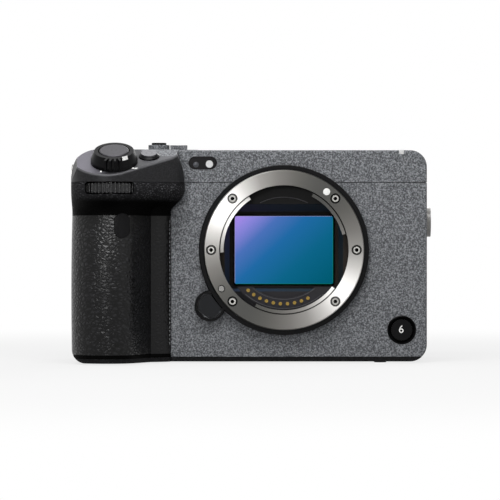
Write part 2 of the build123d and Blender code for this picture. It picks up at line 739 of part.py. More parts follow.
def make_rear_cover():
    """The black rear half of the body, behind the grip and the front cover."""
    shape = shell_slice(SHELL_SPLIT_Y, REAR_Y)
    shape = fillet(shape.faces().sort_by(Axis.Y)[-1].edges(), REAR_EDGE_R)
    shape -= shell_slice(SHELL_SPLIT_Y - 1, REAR_Y - WALL, WALL)
    shape -= under_floor(SHELL_SPLIT_Y - 1, REAR_Y - WALL)
    shape &= block(-FAR, FAR, -FAR, FAR, BASE_T + SEAM, TOP_SEAM_Z - SEAM)
    shape -= battery_block(HOLDER_T + 2 * FIT, 0, WALL + CORNER_R)
    for side, y0, y1, z0, z1 in SIDE_DOORS.values():
        shape = ported(shape, side, y0, y1, z0, z1)
    shape -= disc_y(WHEEL_X, WHEEL_Z, WHEEL_R + FIT, REAR_Y - WHEEL_SINK, REAR_Y + 1)
    shape -= disc_y(WHEEL_X, WHEEL_Z, WHEEL_HUB_R, REAR_Y - WALL - 1, REAR_Y)
    shape += gimbal_lugs()
    shape -= disc_y(JOYSTICK_X, JOYSTICK_Z, JOYSTICK_HOLE_R, REAR_Y - WALL - PIN_PLAY, REAR_Y + 1)
    for name in REAR_BUTTONS:
        shape -= rear_button_disc(name, FIT, REAR_Y - WALL - 1, REAR_Y + 1)
    left, right = BODY_LEFT + THUMB_FROM_EDGE, WHEEL_X - WHEEL_R - THUMB_FROM_WHEEL
    outline = RectangleRounded(right - left, THUMB_H, (right - left) / 4)
    thumb = along_y(Pos((left + right) / 2, THUMB_Z) * outline, REAR_Y - THUMB_ROOT, REAR_Y + THUMB_PROUD)
    shape += fillet(thumb.faces().sort_by(Axis.Y)[-1].edges(), THUMB_EDGE_R)
    for i in range(VENT_SLOTS):
        z = VENT_Z + i * VENT_PITCH
        shape -= block(BODY_RIGHT - VENT_W - CORNER_R, BODY_RIGHT - CORNER_R,
                       REAR_Y - WALL - 1, REAR_Y + 1, z, z + VENT_PITCH / 2)
    return shape


def make_base_plate():
    """The black base, with the battery opening and two low feet."""
    plan = handle_footprint() + block(GRIP_EDGE_X - 1, BODY_RIGHT, FRONT_Y, SHELL_SPLIT_Y, 0, BASE_T)
    plan += block(BODY_LEFT, BODY_RIGHT, SHELL_SPLIT_Y - 1, REAR_Y, 0, BASE_T)
    shape = plan & shell_slice(-FAR, FAR)
    for x, y in FEET:
        shape += disc_z(x, y, FOOT_R, -FOOT_H, BASE_T)
    x0, x1, y0, y1 = battery_opening()
    shape -= block(x0, x1, y0, y1, -1, BASE_T + 1)
    shape -= disc_z(0, 0, INSERT_R + SEAM, -1, BASE_T + 1)
    for x, y in BASE_SCREWS:
        shape -= disc_z(x, y, SCREW_HEAD_R + FIT, -1, SCREW_HEAD_H)
        shape -= disc_z(x, y, SCREW_SHANK_R + FIT, -1, BASE_T + 1)
    return shape


def handle_footprint():
    """The base plate's share of the grip."""
    return handle() & block(-FAR, FAR, -FAR, FAR, 0, BASE_T)


def battery_opening():
    """The battery door's opening in the base plate: low x, high x, low y, high y."""
    width, depth, _ = BATTERY
    margin = HOLDER_T + 2 * FIT
    return (BATTERY_X - margin, BATTERY_X + width + margin + KNUCKLE_R, BATTERY_Y - margin,
            BATTERY_Y + depth + margin)


def dial_well():
    """The space that the front dial turns in, and its slot in the grip."""
    x, y = FRONT_DIAL_X, front_dial_y()
    low, high = FRONT_DIAL_Z - FRONT_DIAL_H / 2 - DIAL_GAP, FRONT_DIAL_Z + FRONT_DIAL_H / 2 + DIAL_GAP
    well = disc_z(x, y, FRONT_DIAL_R + DIAL_GAP, low, high)
    mouth = block(x - FRONT_SLOT_W / 2, x + FRONT_SLOT_W / 2, -FAR, y, low, high)
    return well + fillet(mouth.edges().filter_by(Axis.Y), SLOT_CORNER_R)


def front_dial_y():
    """Where the front dial's axle stands."""
    return NOSE_Y + FRONT_DIAL_SUNK + FRONT_DIAL_R


def make_grip_shell():
    """The moulded core of the grip, hollow for the battery, with the dial's well."""
    rim = handle() & block(-FAR, FAR, -FAR, FAR, BASE_T + SEAM, GRIP_RIM_Z)
    core = handle(SKIN_T + GLUE) & block(-FAR, FAR, -FAR, FAR, GRIP_RIM_Z, HANDLE_TOP_Z)
    shape = rim + core + neck()
    collar = head() & block(-FAR, FAR, -FAR, FAR, NECK_TOP_Z, GRIP_SEAM_Z - SEAM)
    shape += collar
    hollow = handle(SKIN_T + WALL) & block(-FAR, GRIP_EDGE_X, -FAR, FAR, 0, HANDLE_TOP_Z)
    shape -= hollow
    x0, x1, y0, _ = battery_opening()
    shape -= block(x0, x1 - KNUCKLE_R, y0, FAR, HANDLE_TOP_Z - 1, HANDLE_TOP_Z + HOLDER_ROOM)
    shape -= dial_well()
    shape -= disc_z(FRONT_DIAL_X, front_dial_y(), AXLE_R, FRONT_DIAL_Z - FRONT_AXLE_DROP, GRIP_SEAM_Z)
    shape -= boss_hole(-1)
    return shape - plug_solid(FIT)


def plug_solid(margin=0.0):
    """The small upright plug in the middle finger's hollow, grown by margin."""
    outline = stadium(PLUG_X, PLUG_Z, PLUG_W + 2 * margin, PLUG_H + 2 * margin)
    return along_y(outline, -FAR, PLUG_BACK_Y + margin)


def make_grip_plug():
    """The plug, flush with the rubber skin round it."""
    return plug_solid() & (handle(0.1) + neck(0.1))


def make_grip_skin():
    """The grained rubber skin on the handle."""
    span = block(-FAR, FAR, -FAR, FAR, GRIP_RIM_Z + SEAM, HANDLE_TOP_Z - GLUE)
    shape = (handle() & span) - handle(SKIN_T)
    return shape - plug_solid(FIT)


def make_grip_head():
    """The smooth top of the grip, with seats for the release and the round button."""
    shape = head() & block(-FAR, FAR, -FAR, FAR, GRIP_SEAM_Z, FAR)
    shape -= deck_disc(GRIP_BUTTON_X, GRIP_BUTTON_Y, GRIP_BEZEL_R + SEAM, -BUTTON_WELL, CHEEK_REACH)
    pedestal_r = RELEASE_R - PEDESTAL_RIM
    shape += deck_disc(RELEASE_X, RELEASE_Y, pedestal_r, -PEDESTAL_ROOT, LEVER_GAP + PEDESTAL_H)
    return shape - boss_hole(-1)


def make_release_lever():
    """The ring lever round the shutter button, with finger ribs at its front."""
    plane = deck_plane(RELEASE_X, RELEASE_Y)
    bore = RELEASE_R + LEVER_BORE_GAP
    outline = Polyline((bore, LEVER_GAP), (LEVER_R, LEVER_GAP), (LEVER_R, LEVER_GAP + LEVER_WALL_H),
                       (LEVER_TOP_R, LEVER_H), (bore, LEVER_H), close=True)
    ring = plane * revolve(Plane.XZ * make_face(outline), Axis.Z)
    ribs = []
    for i in range(LEVER_RIBS):
        turn = (i - (LEVER_RIBS - 1) / 2) * LEVER_RIB_STEP
        middle = (LEVER_H + LEVER_GAP) / 2
        place = Pos(0, -(LEVER_TOP_R + LEVER_R) / 2 - LEVER_RIB_SHIFT, middle + LEVER_RIB_SHIFT)
        rib = Box(*LEVER_RIB, LEVER_H - LEVER_GAP - 2 * LEVER_RIB_SHIFT)
        ribs.append(plane * Rot(0, 0, turn) * place * rib)
    return ring + ribs


def make_shutter_button():
    """The round release button in the middle of the lever."""
    low = LEVER_GAP + PEDESTAL_H + RELEASE_TRAVEL + RELEASE_REST_GAP
    cap = deck_disc(RELEASE_X, RELEASE_Y, RELEASE_R, low, LEVER_H + RELEASE_PROUD)
    return fillet(cap.edges().group_by(SortBy.LENGTH)[-1].sort_by(Axis.Z)[-1], RELEASE_EDGE_R)


def make_button_bezels():
    """The bezel of the round grip button, and the dished guard of the front record button."""
    plane = deck_plane(GRIP_BUTTON_X, GRIP_BUTTON_Y)
    low = -BUTTON_WELL
    outline = Polyline((0, low), (GRIP_BEZEL_R, low), (GRIP_BEZEL_R, GRIP_BEZEL_H - BEZEL_BEVEL_H),
                       (GRIP_BEZEL_R - BEZEL_BEVEL_W, GRIP_BEZEL_H), (GRIP_BUTTON_R + FIT, GRIP_BEZEL_H),
                       (GRIP_BUTTON_R + FIT, low + BEZEL_FLOOR), (0, low + BEZEL_FLOOR), close=True)
    bezel = plane * revolve(Plane.XZ * make_face(outline), Axis.Z)
    dish = Polyline((0, -WALL), (REC_GUARD_R, -WALL), (REC_GUARD_R, 0.0),
                    (REC_GUARD_R - GUARD_EDGE_W, GUARD_EDGE_H),
                    (REC_FRONT_R + FIT, REC_GUARD_H - WALL), (REC_FRONT_R + FIT, BEZEL_FLOOR - WALL),
                    (0, BEZEL_FLOOR - WALL), close=True)
    guard = revolve(Plane.XZ * make_face(dish), Axis.Z)
    front = Plane((REC_FRONT_X, FRONT_Y, REC_FRONT_Z), x_dir=(1, 0, 0), z_dir=(0, -1, 0))
    return [bezel, front * guard]


def ribbed_dial(x, y, z, radius, height):
    """A dial on an upright axle, with an even knurl round its rim."""
    dial = disc_z(x, y, radius, z - height / 2, z + height / 2)
    dial = chamfer(dial.edges(), DIAL_CHAMFER)
    groove = Pos(radius + RIB_GROOVE_OUT, 0) * Circle(RIB_GROOVE_R)
    pattern = Sketch() + [Rot(0, 0, 360 * i / DIAL_RIBS) * groove for i in range(DIAL_RIBS)]
    dial -= along_z(Pos(x, y) * pattern, z - height, z + height)
    return dial - disc_z(x, y, AXLE_R + PIN_PLAY, z - height, z + height)


def rear_dial_y():
    """Where the rear dial's axle stands."""
    return REAR_Y + REAR_DIAL_PROUD - REAR_DIAL_R


def rear_dial_space():
    """The slot that the rear dial shows through."""
    half = REAR_DIAL_H / 2 + DIAL_GAP
    return disc_z(REAR_DIAL_X, rear_dial_y(), REAR_DIAL_R + DIAL_GAP, REAR_DIAL_Z - half, REAR_DIAL_Z + half)


def make_dial_axles():
    """The two steel axles that the dials turn on."""
    front = disc_z(FRONT_DIAL_X, front_dial_y(), AXLE_R, FRONT_DIAL_Z - FRONT_AXLE_DROP, GRIP_SEAM_Z)
    rear = disc_z(REAR_DIAL_X, rear_dial_y(), AXLE_R, TOP_SEAM_Z + SEAM, TOP_Z - WALL)
    return [front, rear]


def tally_block(margin):
    """The light bar on the front's upper edge, grown by margin."""
    half = TALLY_W / 2 + margin
    return block(TALLY_X - half, TALLY_X + half, FRONT_Y - 1, FRONT_Y + TALLY_L + margin,
                 TOP_Z - TALLY_H - margin, TOP_Z + 1)


def make_mount_ring():
    """The steel lens mount: a land, three bayonet tabs and a turning groove behind them."""
    land_back = FLANGE_Y + LAND_T
    ring = lens_ring(FLANGE_R, THROAT_R, FLANGE_Y, land_back)
    ring += lens_ring(FLANGE_R, GROOVE_R, land_back, FLANGE_Y + RING_T)
    rim = ring.edges().filter_by(GeomType.CIRCLE).group_by(Axis.Y)[0].sort_by(SortBy.LENGTH)[-1]
    ring = chamfer(rim, FLANGE_CHAMFER)
    for start, end in TAB_ARCS:
        ring += arc_band(GROOVE_R + TAB_ROOT, TAB_R, start, end, land_back, land_back + TAB_T)
        ring -= arc_band(THROAT_R + TAB_UNDERCUT, THROAT_R - TAB_GROOVE_W, start - 1, end + 1,
                         land_back, land_back + TAB_GROOVE_T)
    for angle in MOUNT_SCREW_ANGLES:
        x, z = on_circle(MOUNT_SCREW_R, angle)
        ring -= disc_y(x, z, SCREW_SHANK_R + SCREW_PLAY, FLANGE_Y - 1, FLANGE_Y + RING_T + 1)
        ring -= disc_y(x, z, MOUNT_WELL_R, FLANGE_Y - 1, FLANGE_Y + MOUNT_HEAD_SUNK + SCREW_HEAD_H)
    x, z = on_circle(LOCK_PIN_CIRCLE, LOCK_PIN_ANGLE)
    return ring - disc_y(x, z, LOCK_PIN_R + LOCK_PIN_PLAY, FLANGE_Y - 1, FLANGE_Y + RING_T + 1)


def arc_band(outer, inner, start, end, y0, y1):
    """A stretch of a ring round the lens axis between two angles."""
    reach = 2 * outer
    first, middle, last = radians(start), radians((start + end) / 2), radians(end)
    wedge = Polyline((0, 0), (reach * cos(first), reach * sin(first)),
                     (2 * reach * cos(middle), 2 * reach * sin(middle)),
                     (reach * cos(last), reach * sin(last)), close=True)
    return lens_ring(outer, inner, y0, y1) & along_y(Pos(0, LENS_Z) * make_face(wedge), y0 - 1, y1 + 1)


def make_mount_collar():
    """The black collar round the mount, with the round lobe of the lens release."""
    front = FLANGE_Y + COLLAR_DROP
    lobe_r = LENS_RELEASE_R + LENS_RELEASE_RIM
    lobe = disc_y(LENS_RELEASE_X, LENS_Z - LENS_RELEASE_DROP, lobe_r, front, FRONT_Y)
    lobe = chamfer(lobe.faces().sort_by(Axis.Y)[0].edges(), COLLAR_CHAMFER) - release_opening()
    ring = lens_disc(COLLAR_R, front, FRONT_Y)
    ring = chamfer(ring.faces().sort_by(Axis.Y)[0].edges(), COLLAR_CHAMFER)
    return ring + lobe - lens_disc(FLANGE_R + SEAM, front - 1, FRONT_Y + 1)


def make_screws():
    """Six screws of the lens mount and four of the base plate."""
    screws = []
    for angle in MOUNT_SCREW_ANGLES:
        x, z = on_circle(MOUNT_SCREW_R, angle)
        face = FLANGE_Y + MOUNT_HEAD_SUNK
        head = disc_y(x, z, MOUNT_HEAD_R, face, face + SCREW_HEAD_H)
        head = chamfer(head.faces().sort_by(Axis.Y)[0].edges(), HEAD_CHAMFER)
        head -= along_y(Pos(x, z) * RegularPolygon(SOCKET_R, 6), face - 1, face + SOCKET_SUNK)
        tip = MOUNT_SEAT_Y + MOUNT_SCREW_BITE
        screws.append(head + disc_y(x, z, SCREW_SHANK_R, face + SCREW_HEAD_H, tip))
    for x, y in BASE_SCREWS:
        head = disc_z(x, y, SCREW_HEAD_R, BASE_HEAD_SUNK, SCREW_HEAD_H)
        head -= along_z(Pos(x, y) * RegularPolygon(SOCKET_R, 6), -1, BASE_HEAD_SUNK + SOCKET_SUNK)
        screws.append(head + disc_z(x, y, SCREW_SHANK_R, SCREW_HEAD_H, WEB_TOP_Z))
    return screws


def make_contact_block():
    """The curved block under the sensor that holds the lens contacts."""
    outer = TAB_R - FIT
    band = lens_ring(outer, outer - CONTACT_BAND, CONTACT_Y, BAFFLE_Y)
    return band & block(-outer, outer, CONTACT_Y, BAFFLE_Y, 0, LENS_Z - CONTACT_DROP)


def make_contact_pins():
    """The gold contact pins, in an even arc."""
    pins = []
    for i in range(CONTACT_COUNT):
        x, z = on_circle(CONTACT_R, CONTACT_FIRST + i * CONTACT_PITCH)
        pins.append(disc_y(x, z, CONTACT_PIN_R, CONTACT_Y - CONTACT_PIN_PROUD, CONTACT_Y))
    return pins


def gate(width, height, low, high):
    """A rectangular way through along Y, centred on the lens axis."""
    return block(-width / 2, width / 2, low, high, LENS_Z - height / 2, LENS_Z + height / 2)


def make_light_baffle():
    """The tapered mask between the mount and the shutter, with a square plate at its back."""
    back = SHUTTER_Y - BAFFLE_BACK_GAP
    plane = Plane((0, BAFFLE_Y, LENS_Z), x_dir=(1, 0, 0), z_dir=(0, -1, 0))
    mouth = plane * Pos(0, BAFFLE_RISE) * Rectangle(GATE_W + 2 * BAFFLE_FLARE_X, GATE_H + 2 * BAFFLE_FLARE_Z)
    rear = Plane((0, back, LENS_Z), x_dir=(1, 0, 0), z_dir=(0, -1, 0)) * Rectangle(GATE_W, GATE_H)
    mask = lens_disc(SEAT_BORE_R - FIT, BAFFLE_Y, back)
    mask += gate(GATE_W + 2 * BAFFLE_PLATE_RIM, GATE_H + 2 * BAFFLE_PLATE_RIM, back - BAFFLE_PLATE_T, back)
    return mask - loft([mouth, rear], ruled=True)


def make_shutter_frame():
    """Front and back plates of the shutter, joined by a rail at each side."""
    low, high = LENS_Z - GATE_H / 2 - FRAME_BELOW_GATE, LENS_Z + GATE_H / 2 + LEAF_H + FRAME_OVER_LEAF
    inner = GATE_W / 2 + LEAF_SIDE + FIT
    half = inner + SHUTTER_RAIL_W
    shape = block(-half, half, SHUTTER_Y, SHUTTER_Y + SHUTTER_T, low, high)
    shape -= block(-inner, inner, SHUTTER_Y + PLATE_T, SHUTTER_Y + SHUTTER_T - PLATE_T / 2,
                   low - 1, high + 1)
    return shape - gate(GATE_W, GATE_H, SHUTTER_Y - 1, SHUTTER_Y + SHUTTER_T + 1)


def shutter_leaf(depth):
    """One leaf of the shutter in its stack above the gate."""
    half = GATE_W / 2 + LEAF_SIDE
    low = LENS_Z + GATE_H / 2 + LEAF_REST
    return block(-half, half, SHUTTER_Y + depth, SHUTTER_Y + depth + LEAF_T, low, low + LEAF_H)


def make_sensor_frame():
    """The stage that shifts the sensor sideways."""
    opening_w, opening_h = PACKAGE_W + 2 * STAGE_GAP, PACKAGE_H + 2 * SENSOR_SHIFT + 2 * STAGE_GAP
    front, back = SHUTTER_Y + SHUTTER_T + STAGE_GAP, SENSOR_Y + PACKAGE_T
    outer = gate(opening_w + 2 * STAGE_RIM, opening_h + 2 * STAGE_RIM, front, back)
    return outer - gate(opening_w, opening_h, front - 1, back + 1)


def make_sensor_glass():
    """The filter glass on the sensor, with rounded corners and a ground edge."""
    outline = Pos(0, LENS_Z) * RectangleRounded(SENSOR_W, SENSOR_H, SENSOR_CORNER_R)
    glass = along_y(outline, SENSOR_Y - SENSOR_GLASS_T, SENSOR_Y)
    return chamfer(glass.faces().sort_by(Axis.Y)[0].edges(), SENSOR_GLASS_EDGE)


def make_chassis():
    """The cast frame behind the front cover: mount seat, base web and posts for the board."""
    shape = lens_disc(FRONT_HOLE_R - SEAT_STEP, MOUNT_SEAT_Y, CHASSIS_Y)
    low = BASE_T + SEAM
    shape += block(CHASSIS_LEFT, CHASSIS_RIGHT, CHASSIS_Y, CHASSIS_Y + CHASSIS_T, low, CHASSIS_TOP_Z)
    shape += block(CHASSIS_LEFT, CHASSIS_RIGHT, CHASSIS_Y, REAR_Y - WALL - 1, low, WEB_TOP_Z)
    for x, z in BOARD_POSTS:
        shape += disc_y(x, z, POST_R, CHASSIS_Y + CHASSIS_T, BOARD_Y)
    shape -= lens_disc(SEAT_BORE_R, MOUNT_SEAT_Y - 1, CHASSIS_Y + CHASSIS_T + 1)
    for angle in MOUNT_SCREW_ANGLES:
        x, z = on_circle(MOUNT_SCREW_R, angle)
        bottom = MOUNT_SEAT_Y + MOUNT_SCREW_BITE + FIT
        shape -= disc_y(x, z, SCREW_SHANK_R + SCREW_PLAY, MOUNT_SEAT_Y - 1, bottom)
    x, z = on_circle(LOCK_PIN_CIRCLE, LOCK_PIN_ANGLE)
    shape -= disc_y(x, z, LOCK_PIN_R + LOCK_PIN_PLAY, MOUNT_SEAT_Y - 1, CHASSIS_Y + CHASSIS_T + 1)
    shape -= release_opening()
    shape -= disc_z(0, 0, INSERT_R + SEAM, 0, WEB_TOP_Z + 5)
    shape -= boss_hole(1)
    for x, y in BASE_SCREWS:
        shape -= disc_z(x, y, SCREW_SHANK_R + SCREW_PLAY, 0, WEB_TOP_Z + 1)
    return shape


def make_main_board():
    """The circuit board on the chassis posts, with its main chips."""
    face = BOARD_Y + BOARD_T
    board = block(CHASSIS_LEFT, CHASSIS_RIGHT - 1, BOARD_Y, face, BOARD_LOW, BOARD_HIGH)
    for x0, x1, z0, z1 in CHIPS:
        board += block(x0, x1, face, face + CHIP_T, z0, z1)
    return board


def make_heat_sink():
    """The finned plate on the chips, with the fan's ring and axle."""
    back, top = sink_back(), BOARD_HIGH - SINK_RIM / 2
    plate = back + SINK_T
    shape = block(SINK_LEFT, SINK_RIGHT, back, plate, BOARD_LOW + SINK_RIM, top)
    for i in range(FIN_COUNT):
        x = SINK_LEFT + i * (SINK_RIGHT - SINK_LEFT - FIN_T) / (FIN_COUNT - 1)
        shape += block(x, x + FIN_T, back, back + FIN_H, BOARD_LOW + SINK_RIM, top)
    inner = FAN_R + FAN_RING_GAP
    shape -= disc_y(FAN_X, FAN_Z, inner + FAN_RING_W, plate, FAR)
    shape += disc_y(FAN_X, FAN_Z, inner + FAN_RING_W, back, back + FAN_RING_H)
    shape -= disc_y(FAN_X, FAN_Z, inner, plate, FAR)
    return shape + disc_y(FAN_X, FAN_Z, AXLE_R, back, back + FAN_RING_H)


def sink_back():
    """Where the heat sink lies on the chips."""
    return BOARD_Y + BOARD_T + CHIP_T + SINK_GAP


def make_fan_rotor():
    """The cooling fan's hub and blades."""
    low = sink_back() + FAN_SUNK
    hub = disc_y(FAN_X, FAN_Z, FAN_HUB_R, low, low + FAN_H)
    centre = Plane((FAN_X, low + FAN_H / 2, FAN_Z), x_dir=(1, 0, 0), z_dir=(0, -1, 0))
    root = FAN_HUB_R - FAN_HUB_OVERLAP
    for i in range(FAN_BLADES):
        blade = Pos((FAN_R + root) / 2, 0, 0) * Rot(BLADE_TILT, 0, 0) * Box(FAN_R - root, BLADE_T, BLADE_W)
        hub += centre * Rot(0, 0, 360 * i / FAN_BLADES) * blade
    return hub - disc_y(FAN_X, FAN_Z, AXLE_R + PIN_PLAY, low - 1, low + FAN_H + 1)


def battery_block(grow, z0, z1):
    """The battery's plan grown by a margin, between two heights."""
    width, depth, _ = BATTERY
    return block(BATTERY_X - grow, BATTERY_X + width + grow,
                 BATTERY_Y - grow, BATTERY_Y + depth + grow, z0, z1)


def battery_low():
    """Height of the battery's lower end."""
    return DOOR_T + 2 * FIT


def make_battery():
    """The lithium battery, with three contact slots in its top."""
    top = battery_low() + BATTERY[2]
    shape = fillet(battery_block(0, battery_low(), top).edges().filter_by(Axis.Z), BATTERY_CORNER_R)
    for i in range(BATTERY_SLOTS):
        x = BATTERY_X + BATTERY_SLOT_FROM + i * BATTERY_SLOT_PITCH
        y = BATTERY_Y + BATTERY_SLOT_PITCH
        shape -= block(x, x + BATTERY_SLOT_W, y, y + BATTERY_SLOT_PITCH, top - BATTERY_SLOT_DEPTH, top + 1)
    return shape


def make_battery_holder():
    """The chamber that the battery slides into from below."""
    top = battery_low() + BATTERY[2] + FIT
    shape = battery_block(FIT + HOLDER_T, DOOR_T + FIT, top + HOLDER_T)
    return shape - battery_block(FIT, 0, top)


def battery_pin():
    """X and Z of the battery door's hinge pin."""
    return battery_opening()[1] - KNUCKLE_R - LATCH_SUNK, DOOR_T / 2


def make_battery_door():
    """The door under the battery, hinged along its inner edge, with a recess for the latch."""
    x0, _, y0, y1 = battery_opening()
    pin_x, pin_z = battery_pin()
    panel = block(x0 + FIT, pin_x, y0 + FIT, y1 - FIT, 0, DOOR_T)
    panel += along_y(Pos(pin_x, pin_z) * Circle(DOOR_T / 2), y0 + FIT, y1 - FIT)
    panel -= along_y(Pos(pin_x, pin_z) * Circle(PIN_R + PIN_PLAY), y0, y1)
    return panel - latch_block(-1, LATCH_TRAVEL, FIT, LATCH_T + FIT)


def latch_block(low, travel, margin, high):
    """The battery latch's plan between two heights, lengthened by its travel."""
    x0 = battery_opening()[0] + LATCH_FROM_EDGE
    middle = BATTERY_Y + BATTERY[1] / 2
    return block(x0 - margin, x0 + LATCH_L + travel + margin, middle - LATCH_W / 2 - margin,
                 middle + LATCH_W / 2 + margin, low, high)


def make_battery_latch():
    """The sliding latch of the battery door, with grip grooves."""
    shape = latch_block(LATCH_SUNK, 0, 0, LATCH_T)
    x0 = battery_opening()[0] + LATCH_FROM_EDGE
    middle = BATTERY_Y + BATTERY[1] / 2
    half = LATCH_W / 2 - LATCH_GROOVE_FROM
    for i in range(LATCH_GROOVES):
        x = x0 + LATCH_GROOVE_FROM + i * LATCH_GROOVE_PITCH
        shape -= block(x, x + LATCH_GROOVE_W, middle - half, middle + half, 0, LATCH_GROOVE_DEPTH)
    return shape


def door_pin(name):
    """X and Y of a side door's hinge pin."""
    side, y0, _, _, _ = SIDE_DOORS[name]
    wall = BODY_RIGHT if side > 0 else BODY_LEFT
    return wall - side * DOOR_T / 2, y0 + DOOR_T / 2 + FIT


def make_side_door(name):
    """A door in a side wall on an upright pin at its front edge."""
    side, y0, y1, z0, z1 = SIDE_DOORS[name]
    pin_x, pin_y = door_pin(name)
    panel = block(pin_x - DOOR_T / 2, pin_x + DOOR_T / 2, pin_y, y1 - FIT, z0 + FIT, z1 - FIT)
    panel += disc_z(pin_x, pin_y, DOOR_T / 2, z0 + FIT, z1 - FIT)
    lip_x = pin_x + side * (DOOR_T / 2 - DOOR_LIP_IN + DOOR_LIP[0] / 2)
    panel -= Pos(lip_x, y1 - DOOR_LIP_FROM_EDGE, (z0 + z1) / 2) * Box(*DOOR_LIP, (z1 - z0) / 3)
    return panel - disc_z(pin_x, pin_y, PIN_R + PIN_PLAY, z0, z1)


def make_door_pins():
    """The hinge pins of the side doors and of the battery door."""
    pins = []
    for name, (_, _, _, z0, z1) in SIDE_DOORS.items():
        x, y = door_pin(name)
        pins.append(disc_z(x, y, PIN_R, z0, z1))
    x, z = battery_pin()
    _, _, y0, y1 = battery_opening()
    pins.append(along_y(Pos(x, z) * Circle(PIN_R), y0, y1))
    return pins


def make_card_slots():
    """The unit behind the card door, with two slots."""
    side, _, _, z0, z1 = SIDE_DOORS["card_door"]
    x0 = BODY_LEFT + WALL + UNIT_GAP
    y0 = BATTERY_Y + BATTERY[1] + FIT + HOLDER_T + CARD_UNIT_GAP
    y1 = REAR_Y - WALL - UNIT_GAP
    shape = block(x0, x0 + CARD_UNIT_L, y0, y1, z0 + CARD_UNIT_RIM, z1 - CARD_UNIT_RIM)
    low, high = z0 + 2 * CARD_UNIT_RIM, z1 - 2 * CARD_UNIT_RIM
    for i in range(2):
        y = (y0 + y1) / 2 + (i - 0.5) * CARD_SLOT_PITCH - CARD_SLOT_T / 2
        shape -= block(x0 - 1, x0 + CARD_SLOT_DEPTH, y, y + CARD_SLOT_T, low, high)
    return shape


def make_sockets():
    """The socket block behind the two port doors."""
    x1 = BODY_RIGHT - WALL - UNIT_GAP
    upper, lower = SIDE_DOORS["port_door_upper"], SIDE_DOORS["port_door_lower"]
    y0, y1 = upper[1] + SOCKETS_FRONT_RIM, upper[2] - SOCKETS_BACK_RIM
    low, high = lower[3] + SOCKETS_RIM, upper[4] - SOCKETS_RIM
    middle = (y0 + y1) / 2
    shape = block(x1 - SOCKET_DEPTH, x1, y0, y1, low, high)
    for z in JACK_ZS:
        shape -= disc_x(middle, z, JACK_R, x1 - JACK_DEPTH, x1 + 1)
    for z, width, height in PORTS:
        shape -= block(x1 - JACK_DEPTH, x1 + 1, middle - height / 2, middle + height / 2,
                       z - width / 2, z + width / 2)
    return shape


def make_control_wheel():
    """The ring of the rear control wheel."""
    front, back = REAR_Y - WHEEL_SINK + FIT, REAR_Y + WHEEL_PROUD
    ring = disc_y(WHEEL_X, WHEEL_Z, WHEEL_R, front, back)
    ring = chamfer(ring.faces().sort_by(Axis.Y)[-1].edges(), WHEEL_CHAMFER)
    ring -= disc_y(WHEEL_X, WHEEL_Z, WHEEL_BUTTON_R + FIT, front - 1, back + 1)
    notch = Pos(WHEEL_R + WHEEL_NOTCH_OUT, 0) * Circle(WHEEL_NOTCH_R)
    notches = Sketch() + [Rot(0, 0, 360 * i / WHEEL_NOTCHES) * notch for i in range(WHEEL_NOTCHES)]
    return ring - along_y(Pos(WHEEL_X, WHEEL_Z) * notches, front - 1, back + 1)


def make_joystick():
    """The joystick's stem and cap."""
    low = REAR_Y + JOYSTICK_CAP_LOW
    cap = disc_y(JOYSTICK_X, JOYSTICK_Z, JOYSTICK_CAP_R, low, low + JOYSTICK_CAP_T)
    cap = fillet(cap.faces().sort_by(Axis.Y)[-1].edges(), JOYSTICK_CAP_T / 2 - PIN_PLAY)
    stem = disc_y(JOYSTICK_X, JOYSTICK_Z, STEM_R, low - STEM_L, low)
    reach = GIMBAL_R - GIMBAL_PIN_SHORT
    return cap + stem + disc_x(GIMBAL_Y, JOYSTICK_Z, GIMBAL_PIN_R, JOYSTICK_X - reach, JOYSTICK_X + reach)


def make_joystick_gimbal():
    """The ring that the joystick tilts in, on two upright pins of its own."""
    low, high = GIMBAL_Y - GIMBAL_T / 2, GIMBAL_Y + GIMBAL_T / 2
    ring = disc_y(JOYSTICK_X, JOYSTICK_Z, GIMBAL_R, low, high)
    ring += gimbal_axle(GIMBAL_PIN_R, GIMBAL_R + LUG_L)
    ring -= disc_y(JOYSTICK_X, JOYSTICK_Z, GIMBAL_BORE_R, low - 1, high + 1)
    reach = GIMBAL_R + 1
    bore_r = GIMBAL_PIN_R + PIN_PLAY
    return ring - disc_x(GIMBAL_Y, JOYSTICK_Z, bore_r, JOYSTICK_X - reach, JOYSTICK_X + reach)


def gimbal_axle(radius, reach):
    """An upright rod through the middle of the gimbal."""
    return disc_z(JOYSTICK_X, GIMBAL_Y, radius, JOYSTICK_Z - reach, JOYSTICK_Z + reach)


def gimbal_lugs():
    """The two lugs inside the rear cover that hold the gimbal's pins."""
    near, reach = GIMBAL_R + FIT, GIMBAL_R + FIT + LUG_L
    lugs = block(JOYSTICK_X - LUG_W / 2, JOYSTICK_X + LUG_W / 2, GIMBAL_Y - GIMBAL_T / 2, REAR_Y - WALL / 2,
                 JOYSTICK_Z - reach, JOYSTICK_Z + reach)
    lugs -= block(-FAR, FAR, -FAR, REAR_Y - WALL, JOYSTICK_Z - near, JOYSTICK_Z + near)
    return lugs - gimbal_axle(GIMBAL_PIN_R + PIN_PLAY, reach + 1)


def rear_button(name):
    """A round button on the rear cover."""
    cap = rear_button_disc(name, 0.0, REAR_Y - WALL - BUTTON_REST_GAP, REAR_Y + REAR_BUTTON_PROUD)
    return chamfer(cap.faces().sort_by(Axis.Y)[-1].edges(), REAR_BUTTON_CHAMFER)


def rear_button_disc(name, margin, y0, y1):
    """The space of a rear button, grown by margin."""
    offset, z = REAR_BUTTONS[name]
    return disc_y(MONITOR_LEFT - offset, z, REAR_BUTTON_R + margin, y0, y1)


